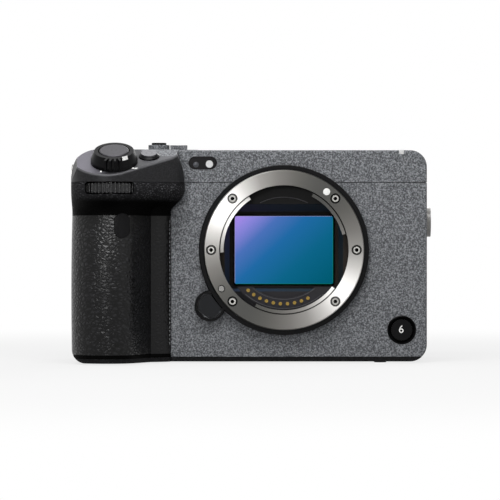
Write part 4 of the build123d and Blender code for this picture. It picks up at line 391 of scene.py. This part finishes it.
def plain_metal(name, dark, light, roughness, brush_mm=0.2, strength=0.1, well=False):
    material, tree = new_material(name)
    place = add(tree, "ShaderNodeTexCoord").outputs["Object"]
    texture = add(tree, "ShaderNodeTexNoise", {"Scale": per(brush_mm), "Detail": 2.0}, {"Vector": place})
    tone = add(tree, "ShaderNodeValToRGB", {}, {"Fac": texture.outputs["Fac"]}, ((0.35, dark), (0.65, light)))
    colour = tone.outputs["Color"]
    if well:
        # The screws of the base are in the same piece, so only what lies above them is shaded
        split = add(tree, "ShaderNodeSeparateXYZ", {}, {0: place})
        deep = add(tree, "ShaderNodeMapRange", {"From Min": WELL_START_Y, "From Max": WELL_DARK_Y},
                   {"Value": split.outputs["Y"]})
        over = add(tree, "ShaderNodeMath", {"operation": "GREATER_THAN", 1: BASE_SCREWS_TOP_Z},
                   {0: split.outputs["Z"]})
        shade = add(tree, "ShaderNodeMath", {"operation": "MULTIPLY"},
                    {0: deep.outputs[0], 1: over.outputs[0]})
        colour = add(tree, "ShaderNodeMix", {"data_type": "RGBA", 7: linear("#050505")},
                     {0: shade.outputs[0], 6: colour}).outputs[2]
    normal = add(tree, "ShaderNodeBump", {"Strength": strength, "Distance": 0.02 * MM},
                 {"Height": texture.outputs["Fac"]})
    shader = add(tree, "ShaderNodeBsdfPrincipled", {"Metallic": 1.0, "Roughness": roughness},
                 {"Base Color": colour, "Normal": normal.outputs["Normal"]})
    add(tree, "ShaderNodeOutputMaterial", {}, {"Surface": shader.outputs[0]})
    return material


bright_steel = plain_metal("satin_stainless_steel", "#6c6b69", "#8a8987", 0.42)
screw_steel = plain_metal("stainless_screw_steel", "#9c9b97", "#bdbcb8", 0.3, well=True)
dark_steel = plain_metal("blackened_steel", "#262729", "#333436", 0.35)
gold_plate = plain_metal("gold_plated_contact", "#705c2c", "#8f7842", 0.4)
cast_alloy = plain_metal("sand_cast_aluminium", "#76777a", "#8f9093", 0.5, 0.5, 0.3)
print("plain metals", [m.name for m in (bright_steel, screw_steel, dark_steel, gold_plate, cast_alloy)])

# %% [markdown]
# ## Spun buttons
# The shutter button and the button beside it are anodised aluminium, faced on a lathe, which leaves
# fine rings round the middle of each. Noise in one dimension, read from the distance to the middle of
# the button's box, draws rings that stay centred on it. Real rings are too fine to show, so these are
# drawn about ten times as wide.

# %% Spun buttons
SPUN_RING_MM = 0.3


def spun_anodised(node, tones):
    material, tree = new_material(node + "_spun_anodised_aluminium")
    place = add(tree, "ShaderNodeTexCoord").outputs["Object"]
    middle = [(a + b) / 2 for a, b in zip(*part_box(node))]
    centred = add(tree, "ShaderNodeVectorMath", {"operation": "SUBTRACT", 1: middle}, {0: place})
    radius = add(tree, "ShaderNodeVectorMath", {"operation": "LENGTH"}, {0: centred.outputs[0]})
    rings = add(tree, "ShaderNodeTexNoise",
                {"noise_dimensions": "1D", "Scale": per(SPUN_RING_MM), "Detail": 1.0},
                {"W": radius.outputs["Value"]})
    tone = add(tree, "ShaderNodeValToRGB", {}, {"Fac": rings.outputs["Fac"]}, tones)
    normal = add(tree, "ShaderNodeBump", {"Strength": 0.2, "Distance": 0.015 * MM},
                 {"Height": rings.outputs["Fac"]})
    shader = add(tree, "ShaderNodeBsdfPrincipled", {"Metallic": 0.8, "Roughness": 0.42},
                 {"Base Color": tone.outputs["Color"], "Normal": normal.outputs["Normal"]})
    add(tree, "ShaderNodeOutputMaterial", {}, {"Surface": shader.outputs[0]})
    return material


spun_shutter = spun_anodised("shutter_button", ((0.3, "#2f2e31"), (0.7, "#434246")))
spun_grip_button = spun_anodised("grip_button", ((0.3, "#5b5b5e"), (0.7, "#77777a")))
print("spun finishes", spun_shutter.name, "and", spun_grip_button.name)

# %% [markdown]
# ## The sensor's filter
# The filter glass over the sensor is coated in thin layers whose thickness picks out a colour: violet
# at the upper left, turning through blue to teal at the lower right. The ground edge of the glass has a
# painted highlight, pale at the upper left, and a painted green glint at the lower right. The coating
# mirrors the light that comes in through the mount, so it is metallic to the shader, and the place on the
# glass, from corner to corner, drives the colour band.

# %% Sensor filter
FILM = ((0.0, "#b48ff2"), (0.12, "#8f86dc"), (0.28, "#4a70b8"), (0.45, "#2069a4"), (0.7, "#0c6488"),
        (1.0, "#015a70"))
# How far along the band the glass's width and height take the colour
FILM_ACROSS, FILM_DOWN = 0.6, 0.45
# Painted highlight and painted glint on the ground edge of the glass
FILTER_EDGE_HIGHLIGHT, FILTER_EDGE_GLINT = "#cfc6ee", "#1fa87a"
# Width of the ground edge, as a share of the glass's width and of its height
EDGE_ACROSS, EDGE_DOWN = 0.014, 0.02


def sensor_filter():
    material, tree = new_material("thin_film_filter_glass")
    low, high = (Vector(corner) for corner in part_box("sensor_glass"))
    place = add(tree, "ShaderNodeTexCoord").outputs["Object"]
    split = add(tree, "ShaderNodeSeparateXYZ", {}, {0: place})
    across = add(tree, "ShaderNodeMapRange", {"From Min": low.x, "From Max": high.x},
                 {"Value": split.outputs["X"]}).outputs["Result"]
    down = add(tree, "ShaderNodeMapRange", {"From Min": high.z, "From Max": low.z},
               {"Value": split.outputs["Z"]}).outputs["Result"]
    partly = add(tree, "ShaderNodeMath", {"operation": "MULTIPLY", 1: FILM_DOWN}, {0: down})
    slant = add(tree, "ShaderNodeMath", {"operation": "MULTIPLY_ADD", 1: FILM_ACROSS},
                {0: across, 2: partly.outputs[0]})
    film = add(tree, "ShaderNodeValToRGB", {}, {"Fac": slant.outputs[0]}, FILM)
    left = add(tree, "ShaderNodeMath", {"operation": "LESS_THAN", 1: EDGE_ACROSS}, {0: across})
    top = add(tree, "ShaderNodeMath", {"operation": "LESS_THAN", 1: EDGE_DOWN}, {0: down})
    right = add(tree, "ShaderNodeMath", {"operation": "GREATER_THAN", 1: 1 - EDGE_ACROSS}, {0: across})
    bottom = add(tree, "ShaderNodeMath", {"operation": "GREATER_THAN", 1: 1 - EDGE_DOWN}, {0: down})
    pale = add(tree, "ShaderNodeMath", {"operation": "MAXIMUM"}, {0: left.outputs[0], 1: top.outputs[0]})
    green = add(tree, "ShaderNodeMath", {"operation": "MAXIMUM"}, {0: right.outputs[0], 1: bottom.outputs[0]})
    edged = add(tree, "ShaderNodeMix", {"data_type": "RGBA", 7: linear(FILTER_EDGE_HIGHLIGHT)},
                {0: pale.outputs[0], 6: film.outputs[0]})
    colour = add(tree, "ShaderNodeMix", {"data_type": "RGBA", 7: linear(FILTER_EDGE_GLINT)},
                 {0: green.outputs[0], 6: edged.outputs[2]})
    shader = add(tree, "ShaderNodeBsdfPrincipled", {"Metallic": 1.0, "Roughness": 0.12},
                 {"Base Color": colour.outputs[2]})
    add(tree, "ShaderNodeOutputMaterial", {}, {"Surface": shader.outputs[0]})
    print("filter glass", round((high.x - low.x) / MM, 1), "x", round((high.z - low.z) / MM, 1), "mm")
    return material


filter_glass = sensor_filter()

# %% [markdown]
# ## The throat's mask and the glossy windows
# Behind the bayonet a moulded mask keeps stray light off the sensor. Its light and shade are painted by
# the height over the lens axis: the panel over the sensor, where a step catches a little light, is painted
# a shade lighter, the wall above it is painted dark as in shade, and the floor below is bluish. The middle
# is painted warmer to cancel the blue light that the filter throws onto it. The display, the dark window
# and the lamp's lens are polished panes with only a faint cloud of tone.

# %% Throat and panes
THROAT_REACH = 20 * MM
# Painted light and shade from the throat's floor to its roof
THROAT_LIGHT_AND_SHADE = ((0.0, "#27262a"), (0.16, "#232224"), (0.2, "#221d18"), (0.8, "#221d18"), (0.84, "#232120"),
                (0.9, "#242221"), (0.915, "#070707"))
THROAT_GRAIN_MM = 0.4
PANE_CLOUD_MM = 6.0


def throat_plastic():
    material, tree = new_material("anti_reflective_black_plastic")
    place = add(tree, "ShaderNodeTexCoord").outputs["Object"]
    split = add(tree, "ShaderNodeSeparateXYZ", {}, {0: place})
    height = add(tree, "ShaderNodeMapRange",
                 {"From Min": LENS_AXIS_Z - THROAT_REACH, "From Max": LENS_AXIS_Z + THROAT_REACH},
                 {"Value": split.outputs["Z"]})
    tone = add(tree, "ShaderNodeValToRGB", {}, {"Fac": height.outputs["Result"]}, THROAT_LIGHT_AND_SHADE)
    grain = add(tree, "ShaderNodeTexNoise", {"Scale": per(THROAT_GRAIN_MM), "Detail": 2.0}, {"Vector": place})
    normal = add(tree, "ShaderNodeBump", {"Strength": 0.2, "Distance": 0.04 * MM},
                 {"Height": grain.outputs["Fac"]})
    shader = add(tree, "ShaderNodeBsdfPrincipled", {"Roughness": 0.55, "Specular IOR Level": 0.15},
                 {"Base Color": tone.outputs["Color"], "Normal": normal.outputs["Normal"]})
    add(tree, "ShaderNodeOutputMaterial", {}, {"Surface": shader.outputs[0]})
    return material


def polished_pane(name, dark, light, roughness=0.08, sheen=0.4):
    material, tree = new_material(name)
    place = add(tree, "ShaderNodeTexCoord").outputs["Object"]
    clouds = add(tree, "ShaderNodeTexNoise", {"Scale": per(PANE_CLOUD_MM), "Detail": 1.0}, {"Vector": place})
    tone = add(tree, "ShaderNodeValToRGB", {}, {"Fac": clouds.outputs["Fac"]}, ((0.3, dark), (0.7, light)))
    shader = add(tree, "ShaderNodeBsdfPrincipled", {"Roughness": roughness, "Specular IOR Level": sheen},
                 {"Base Color": tone.outputs["Color"]})
    add(tree, "ShaderNodeOutputMaterial", {}, {"Surface": shader.outputs[0]})
    return material


throat_black = throat_plastic()
display_glass = polished_pane("display_cover_glass", "#040405", "#060607")
smoked_window = polished_pane("smoked_infrared_window", "#0a090a", "#100e10", 0.1, 0.2)
frosted_lamp = polished_pane("frosted_lamp_lens", "#bdbdbd", "#cacaca", 0.35)
print("throat", throat_black.name, "panes", [m.name for m in (display_glass, smoked_window, frosted_lamp)])

# %% [markdown]
# ## Finishes for the frame's nodes
# A node of the frame whose shape is right stays as it is and only gets its finish. The table below is
# the camera's finish list, as a workshop would keep it. Small steel parts share one satin steel, and
# black textured ABS is the finish of all that isn't named.

# %% Finish list
finishes = {
    "light_baffle": throat_black, "contact_block": throat_black, "shutter_leaf_low": throat_black,
    "shutter_leaf_high": throat_black, "shutter_frame": throat_black, "sensor_package": throat_black,
    "front_cover": grey_powder_coat, "top_cover": grey_powder_coat, "power_slider": grey_powder_coat,
    "rear_cover": black_powder_coat, "base_plate": black_powder_coat, "mount_collar": smooth_abs,
    "grip_head": painted_head, "grip_shell": fine_grain, "grip_skin": leather_rubber,
    "grip_plug": smooth_abs, "mount_ring": mount_steel, "contact_pins": gold_plate, "screws": screw_steel,
    "shutter_button": spun_shutter, "release_lever": smooth_abs, "sensor_glass": filter_glass,
    "main_board": green_mask, "battery": battery_abs, "chassis": cast_alloy, "heat_sink": cast_alloy,
    "sensor_frame": dark_steel, "monitor_glass": display_glass, "window": smoked_window,
    "lamps": frosted_lamp, "port_door_upper": port_rubber, "port_door_lower": port_rubber,
    "record_button_front": smooth_abs, "record_button_top": smooth_abs, "grip_button": spun_grip_button,
    "button_bezels": smooth_abs, "front_dial": dial_black, "rear_dial": dial_black,
    "control_wheel": dial_black, "lens_release_button": release_abs,
}
for name in ("door_pins", "dial_axles", "thread_inserts", "hot_shoe", "lock_pin", "monitor_bracket"):
    finishes[name] = bright_steel
for name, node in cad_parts.items():
    node.data.materials.clear()
    node.data.materials.append(finishes.get(name, textured_abs))
print("finishes given to", len(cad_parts), "nodes")

# %% [markdown]
# ## Small pieces of paint, print and trim
# These stand a few hundredths of a millimetre proud of what carries them, as a printed mark does, so
# that they are real geometry and cast their own edge. Each one starts as a primitive at its size and
# place, is shaped in edit mode, and then has its place applied to its mesh. Faces are picked by their
# normal or their place, because a script has no pointer to click with.

# %% Helpers for pieces
SMOOTH_BELOW = math.radians(35)


def pick_faces(piece, wanted):
    """Edit mode, with only the faces selected for which wanted(centre, normal) is true."""
    bpy.context.view_layer.objects.active = piece
    bpy.ops.object.mode_set(mode="EDIT")
    bpy.ops.mesh.select_mode(type="FACE")
    bpy.ops.mesh.select_all(action="DESELECT")
    mesh = bmesh.from_edit_mesh(piece.data)
    for face in mesh.faces:
        face.select_set(wanted(face.calc_center_median(), face.normal))
    bmesh.update_edit_mesh(piece.data)


def is_cap(centre, normal):
    """True for the top face of a primitive, in its own axes, before it is turned into its place."""
    return normal.z > 0.9


def finish_piece(piece, name, finish, body):
    """Applies the place of a shaped piece, and gives it its name, finish, body and slot."""
    if bpy.context.mode != "OBJECT":
        bpy.ops.object.mode_set(mode="OBJECT")
    bpy.ops.object.select_all(action="DESELECT")
    piece.select_set(True)
    bpy.context.view_layer.objects.active = piece
    bpy.ops.object.transform_apply(location=True, rotation=True, scale=True)
    bpy.ops.object.shade_smooth_by_angle(angle=SMOOTH_BELOW)
    piece.name = name
    piece.data.name = name
    piece.data.materials.clear()
    piece.data.materials.append(finish)
    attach(piece, body)
    piece.select_set(False)
    print(name, "rides on", body, "with", len(piece.data.polygons), "faces")


# %% [markdown]
# ### The lens index on the flange
# A lens is lined up with a white dot on the flange before it is turned into the bayonet. The dot is
# enamel poured into a shallow ring, so it is a low disc with a rounded rim: a cylinder whose front face
# is inset and pushed out a little.

# %% Lens index dot
INDEX_ANGLE = math.radians(53.7)
INDEX_CIRCLE = 25.7 * MM
INDEX_RADIUS, INDEX_THICKNESS = 1.25 * MM, 0.3 * MM
INDEX_SUNK = 0.12 * MM
RIM_WIDTH, RIM_RISE = 0.16 * MM, 0.05 * MM
FACING_FRONT = (math.pi / 2, 0, 0)


def round_axis(radius, angle, y):
    """A place at a radius and an angle round the lens axis, at the depth y."""
    return radius * math.cos(angle), y, LENS_AXIS_Z + radius * math.sin(angle)


bpy.ops.mesh.primitive_cylinder_add(vertices=48, radius=INDEX_RADIUS, depth=INDEX_THICKNESS,
                                    location=round_axis(INDEX_CIRCLE, INDEX_ANGLE, FLANGE_Y + INDEX_SUNK),
                                    rotation=FACING_FRONT)
dot = bpy.context.object
pick_faces(dot, is_cap)
bpy.ops.mesh.inset(thickness=RIM_WIDTH)
bpy.ops.transform.translate(value=(0, -RIM_RISE, 0))
finish_piece(dot, "lens_index_dot", white_enamel, "camera_body")

# %% [markdown]
# ### The lever's pointer mark
# The zoom lever round the shutter button has a white mark at its rim. It follows the lever's cone, so
# it is cut out of a cone that is a little larger: the faces outside its sector are deleted, the rest is
# bisected below the mark, and Solidify gives the paint its thickness. It rides on the lever.

# %% Lever mark
LEVER_X, LEVER_Y = -59.6 * MM, -38.4 * MM
LEVER_FOOT_R, LEVER_TOP_R = 8.25 * MM, 6.95 * MM
LEVER_HEIGHT, LEVER_GAP = 4.6 * MM, 0.3 * MM
PAINT = 0.08 * MM
MARK_ANGLE, MARK_HALF_WIDTH = math.radians(-55), math.radians(9)
MARK_LENGTH = 1.3 * MM
deck_normal = Vector((0, -math.sin(DECK_TILT), math.cos(DECK_TILT)))
lever_foot = Vector((LEVER_X, LEVER_Y, DECK_START_Z - math.tan(DECK_TILT) * (DECK_START_Y - LEVER_Y)))
lever_middle = lever_foot + deck_normal * (LEVER_GAP + LEVER_HEIGHT / 2)
mark_foot = lever_foot + deck_normal * (LEVER_GAP + LEVER_HEIGHT - MARK_LENGTH)
bpy.ops.mesh.primitive_cone_add(vertices=120, radius1=LEVER_FOOT_R + PAINT, radius2=LEVER_TOP_R + PAINT,
                                depth=LEVER_HEIGHT, location=lever_middle, rotation=(DECK_TILT, 0, 0))
mark = bpy.context.object
pick_faces(mark, lambda centre, normal: abs(math.atan2(centre.y, centre.x) - MARK_ANGLE) > MARK_HALF_WIDTH
           or abs(normal.z) > 0.9)
bpy.ops.mesh.delete(type="FACE")
bpy.ops.mesh.select_all(action="SELECT")
bpy.ops.mesh.bisect(plane_co=mark_foot, plane_no=deck_normal, clear_inner=True)
bpy.ops.object.mode_set(mode="OBJECT")
paint = mark.modifiers.new("paint", "SOLIDIFY")
paint.thickness = PAINT
bpy.ops.object.modifier_apply(modifier=paint.name)
finish_piece(mark, "lever_mark", white_enamel, "lever")

# %% [markdown]
# ### Marks on the deck
# Two small printed marks on the deck, one each side, show how far the lever turns. Each is a low block
# that lies in the deck's plane: a cube scaled to a dash, with its edges bevelled as ink rounds off.

# %% Deck marks
# Name, then the place to the right and forward of the lever's axis, the width and the length, in mm
DECK_MARKS = (("deck_mark_outer", -4.2, 7.75, 0.7, 0.7), ("deck_mark_inner", 7.4, 4.9, 1.9, 0.7))
INK_THICKNESS, INK_RISE, INK_ROUND = 0.12 * MM, 0.02 * MM, 0.05 * MM
deck_forward = Vector((0, -math.cos(DECK_TILT), -math.sin(DECK_TILT)))

for name, across, forward, width, length in DECK_MARKS:
    middle = (lever_foot + Vector((across * MM, 0, 0)) + deck_forward * (forward * MM)
              + deck_normal * INK_RISE)
    bpy.ops.mesh.primitive_cube_add(size=1.0, location=middle, rotation=(DECK_TILT, 0, 0),
                                    scale=(width * MM, length * MM, INK_THICKNESS))
    dash = bpy.context.object
    bpy.ops.object.transform_apply(location=False, rotation=False, scale=True)
    pick_faces(dash, is_cap)
    bpy.ops.mesh.bevel(offset=INK_ROUND, segments=2)
    finish_piece(dash, name, white_enamel, "camera_body")

# %% [markdown]
# ### The numeral on the front button
# The front button carries a plain white numeral. Text is a flat curve with a thickness, so it is turned
# into a mesh first, and only then is its place applied. It rides on the button.

# %% Button numeral
BUTTON_X, BUTTON_Z = 41.9 * MM, 11.4 * MM
NUMERAL_SIZE, NUMERAL_THICKNESS, NUMERAL_SUNK = 3.9 * MM, 0.1 * MM, 0.05 * MM
button_face_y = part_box("record_button_front")[0][1]
bpy.ops.object.text_add(location=(BUTTON_X, button_face_y + NUMERAL_SUNK, BUTTON_Z), rotation=FACING_FRONT)
numeral = bpy.context.object
numeral.data.body = "6"
numeral.data.align_x, numeral.data.align_y = "CENTER", "CENTER"
numeral.data.size = NUMERAL_SIZE
numeral.data.extrude = NUMERAL_THICKNESS
bpy.ops.object.convert(target="MESH")
finish_piece(bpy.context.object, "button_numeral", white_enamel, "button_record_front")

# %% [markdown]
# ### The receiver behind its window
# Beside the lamp, a small lens sits in the dark window and glints. It is a shallow dome on a collar:
# a cylinder whose front face is inset, pushed out and drawn in twice, as a lens blank is turned.

# %% Receiver lens
RECEIVER_X, RECEIVER_Z = -31.4 * MM, 70.3 * MM
RECEIVER_RADIUS, RECEIVER_DEPTH, RECEIVER_SUNK = 1.0 * MM, 0.5 * MM, 0.15 * MM
COLLAR_WIDTH = 0.25 * MM
# How far each step of the dome is pushed out, in mm, and how much it is drawn in
DOME_STEPS = ((0.12, 0.85), (0.08, 0.6))
window_face_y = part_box("window")[0][1]
bpy.ops.mesh.primitive_cylinder_add(vertices=32, radius=RECEIVER_RADIUS, depth=RECEIVER_DEPTH,
                                    location=(RECEIVER_X, window_face_y + RECEIVER_SUNK, RECEIVER_Z),
                                    rotation=FACING_FRONT)
receiver = bpy.context.object
pick_faces(receiver, is_cap)
bpy.ops.mesh.inset(thickness=COLLAR_WIDTH)
for push, draw in DOME_STEPS:
    bpy.ops.mesh.extrude_region_move(TRANSFORM_OT_translate={"value": (0, -push * MM, 0)})
    bpy.ops.transform.resize(value=(draw, 1, draw))
receiver_glass = polished_pane("receiver_lens_glass", "#2a2b30", "#3a3b42", 0.05, 0.5)
finish_piece(receiver, "receiver_lens", receiver_glass, "camera_body")

# %% [markdown]
# ### Ribs in the throat
# The mask and the contact block carry thin ribs that run round the lens axis and break up stray light.
# A rib is the path of one small face round the axis, so a plane is stood up, spun about the axis and
# has its doubles merged. The same step makes each rib at its own radius. A plane has one size only, so
# its other side is scaled before the spin.

# %% Throat ribs
# Name, the node that carries the rib, its radius in mm, and where it starts and how far it runs in degrees
RIBS = (("mask_rib", "light_baffle", 18.9, 63, 54), ("contact_rib_inner", "contact_block", 17.6, -129, 78),
        ("contact_rib_outer", "contact_block", 20.9, -131, 80))
RIB_WIDTH, RIB_HEIGHT = 0.28 * MM, 0.16 * MM
RIB_RISE = 0.3 * RIB_HEIGHT
rib_plastic = moulded_plastic("throat_rib_plastic", "#3a393c", "#4a494c", 0.5, 0.15)

for name, carrier, radius, start, sweep in RIBS:
    first = math.radians(start)
    face_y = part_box(carrier)[0][1]
    bpy.ops.mesh.primitive_plane_add(size=RIB_WIDTH, rotation=(0, -first, 0),
                                     location=round_axis(radius * MM, first, face_y - RIB_RISE))
    rib = bpy.context.object
    rib.scale.y = RIB_HEIGHT / RIB_WIDTH
    bpy.ops.object.transform_apply(location=True, rotation=True, scale=True)
    pick_faces(rib, lambda centre, normal: True)
    bpy.ops.mesh.spin(steps=32, angle=math.radians(sweep), center=LENS_CENTRE, axis=(0, 1, 0))
    bpy.ops.mesh.select_all(action="SELECT")
    bpy.ops.mesh.remove_doubles(threshold=0.001 * MM)
    bpy.ops.mesh.normals_make_consistent(inside=False)
    finish_piece(rib, name, rib_plastic, "camera_body")
    low, high = rib.bound_box[0], rib.bound_box[6]
    print("  from", [round(v / MM, 1) for v in low], "to", [round(v / MM, 1) for v in high])

# %% [markdown]
# ### The row of nibs along the grip's edge
# Where the grip meets the grey cover, a row of tiny moulded nibs closes the joint and catches light like
# a stitched seam; the nibs are coloured pale grey as a painted highlight for those glints. One nib is
# modelled, a cube with its edges bevelled, and the others are copies with their own meshes, joined into one
# strip. A ray from the front finds the surface under each nib.

# %% Seam nibs
NIB_X = -40.75 * MM
NIB_PITCH = 1.45 * MM
NIB_LOW_Z, NIB_HIGH_Z = 6.5 * MM, 52 * MM
NIB_SIZE = (0.45 * MM, 0.24 * MM, 0.8 * MM)
NIB_ROUND = 0.08 * MM
IN_FRONT_Y = -100 * MM


def surface_y(x, z):
    """The y of the first surface of the grip or the cover that a ray from the front meets."""
    carriers = [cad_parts[name] for name in ("grip_shell", "grip_skin", "front_cover")]
    hits = [carrier.ray_cast((x, IN_FRONT_Y, z), (0, 1, 0)) for carrier in carriers]
    return min(place.y for met, place, normal, face in hits if met)


nib_y = surface_y(NIB_X, NIB_LOW_Z)
bpy.ops.mesh.primitive_cube_add(size=1.0, location=(NIB_X, nib_y, NIB_LOW_Z), scale=NIB_SIZE)
nib = bpy.context.object
bpy.ops.object.transform_apply(location=True, rotation=True, scale=True)
pick_faces(nib, lambda centre, normal: True)
bpy.ops.mesh.bevel(offset=NIB_ROUND, segments=2)
bpy.ops.object.mode_set(mode="OBJECT")
nibs = [nib]
for number in range(1, int((NIB_HIGH_Z - NIB_LOW_Z) / NIB_PITCH)):
    up = number * NIB_PITCH
    copy = nib.copy()
    copy.data = nib.data.copy()
    copy.location = (0, surface_y(NIB_X, NIB_LOW_Z + up) - nib_y, up)
    bpy.context.collection.objects.link(copy)
    nibs.append(copy)
bpy.ops.object.select_all(action="DESELECT")
for piece in nibs:
    piece.select_set(True)
bpy.context.view_layer.objects.active = nib
bpy.ops.object.join()
# Pale grey as a painted highlight for the nibs' glints
nib_glint_grey = moulded_plastic("moulded_nib_grey_painted_glint", "#4c4d4f", "#77787a", 0.5, 0.1)
finish_piece(nib, "seam_nibs", nib_glint_grey, "camera_body")

# %% [markdown]
# ## Studio floor and world
# A product picture stands on a pale board in front of white. The world and the floor show white to the
# camera and in reflections, but they light the object only a little, so that its blacks stay black. The
# floor turns from board near the object, where it keeps the shadow, to pure white far off, so that no
# horizon shows.

# %% Floor and world
BOARD_GREY, WHITE = "#bcbcbc", "#ffffff"
BOARD_NEAR, BOARD_FAR, NEAR_WHITE = 0.1, 0.45, 0.78
FLOOR_SIZE, FLOOR_GAP = 6.0, 0.1 * MM
WORLD_LIGHT = 0.08


def seen_directly(tree):
    """1 where the camera or a reflection or refraction looks, 0 for light that falls on things."""
    path = add(tree, "ShaderNodeLightPath")
    mirrored = add(tree, "ShaderNodeMath", {"operation": "MAXIMUM"},
                   {0: path.outputs["Is Glossy Ray"], 1: path.outputs["Is Transmission Ray"]})
    seen = add(tree, "ShaderNodeMath", {"operation": "MAXIMUM"},
               {0: path.outputs["Is Camera Ray"], 1: mirrored.outputs[0]})
    return seen.outputs[0]


def studio_board():
    material, tree = new_material("pale_studio_board")
    place = add(tree, "ShaderNodeTexCoord").outputs["Object"]
    distance = add(tree, "ShaderNodeVectorMath", {"operation": "LENGTH"}, {0: place})
    white_share = add(tree, "ShaderNodeMapRange",
                      {"From Min": BOARD_NEAR, "From Max": BOARD_FAR, "To Min": NEAR_WHITE, "To Max": 1.0,
                       "interpolation_type": "SMOOTHSTEP"}, {"Value": distance.outputs["Value"]})
    share = add(tree, "ShaderNodeMath", {"operation": "MULTIPLY"},
                {0: white_share.outputs["Result"], 1: seen_directly(tree)})
    board = add(tree, "ShaderNodeBsdfDiffuse", {"Color": linear(BOARD_GREY)})
    glow = add(tree, "ShaderNodeEmission", {"Color": linear(WHITE), "Strength": 1.0})
    mixed = add(tree, "ShaderNodeMixShader", {},
                {0: share.outputs[0], 1: board.outputs[0], 2: glow.outputs[0]})
    add(tree, "ShaderNodeOutputMaterial", {}, {"Surface": mixed.outputs[0]})
    return material


bpy.ops.mesh.primitive_plane_add(size=FLOOR_SIZE, location=(0, 0, cad_box[0][2] - FLOOR_GAP))
floor = bpy.context.object
floor.name = "studio_floor"
floor.data.materials.append(studio_board())

world = bpy.data.worlds.new("studio_world")
bpy.context.scene.world = world
world.use_nodes = True
sky_tree = world.node_tree
sky_tree.nodes.clear()
strength = add(sky_tree, "ShaderNodeMapRange", {"To Min": WORLD_LIGHT, "To Max": 1.0},
               {"Value": seen_directly(sky_tree)})
sky = add(sky_tree, "ShaderNodeBackground", {"Color": linear(WHITE)},
          {"Strength": strength.outputs["Result"]})
add(sky_tree, "ShaderNodeOutputWorld", {}, {"Surface": sky.outputs[0]})
print("floor at z", round(floor.location.z / MM, 2), "mm")

# %% [markdown]
# ## Lights
# Five soft lamps. The key hangs close over the front, so that its light falls off downwards over the
# covers. A small one far out beside the lens draws the highlight on the handle, a weak one fills the
# right side, and the two behind light the top plate and the rear.

# %% Lights
# Name, place in metres, width, height and power in watts
SOFTBOXES = (("key_softbox", (-0.04, -0.19, 0.31), 0.2, 0.14, 1.15),
             ("lens_side_softbox", (-0.27, -0.95, 0.22), 0.12, 0.12, 1.8),
             ("right_softbox", (0.8, -0.6, 0.4), 0.3, 0.5, 0.35),
             ("top_softbox", (-0.1, 0.2, 0.8), 0.6, 0.3, 2.0),
             ("rear_softbox", (0.3, 0.9, 0.5), 0.5, 0.4, 5.0))

for name, place, width, height, power in SOFTBOXES:
    bpy.ops.object.light_add(type="AREA", location=place)
    lamp = bpy.context.object
    lamp.name = name
    lamp.data.shape = "RECTANGLE"
    lamp.data.size, lamp.data.size_y = width, height
    lamp.data.energy = power
    to_lens = Vector(LENS_CENTRE) - Vector(place)
    lamp.rotation_euler = to_lens.to_track_quat("-Z", "Y").to_euler()
    print(name, "is", round(to_lens.length, 2), "m from the lens axis")

# %% [markdown]
# ## Camera
# The photograph looks straight at the front, from about a metre, with the lens axis a little right of
# its middle. The focal length follows from how many picture points a metre takes at the flange, and a
# small shift of the sensor puts the lens axis where it belongs without turning the camera.

# %% Camera
PHOTO_PIXELS = 500
PIXELS_PER_METRE = 2811.0
VIEW_DISTANCE = 1.0
MOUNT_PIXEL_X = 283.9
SENSOR_WIDTH_MM = 36
bpy.ops.object.camera_add(location=(0, FLANGE_Y - VIEW_DISTANCE, LENS_AXIS_Z), rotation=FACING_FRONT)
camera = bpy.context.object
camera.name = "photo_camera"
camera.data.sensor_width = SENSOR_WIDTH_MM
camera.data.lens = SENSOR_WIDTH_MM * VIEW_DISTANCE * PIXELS_PER_METRE / PHOTO_PIXELS
camera.data.shift_x = (PHOTO_PIXELS / 2 - MOUNT_PIXEL_X) / PHOTO_PIXELS
camera.data.clip_start = 0.01
bpy.context.scene.camera = camera
bpy.context.scene.view_settings.view_transform = "Standard"
print("focal length", round(camera.data.lens, 1), "mm")
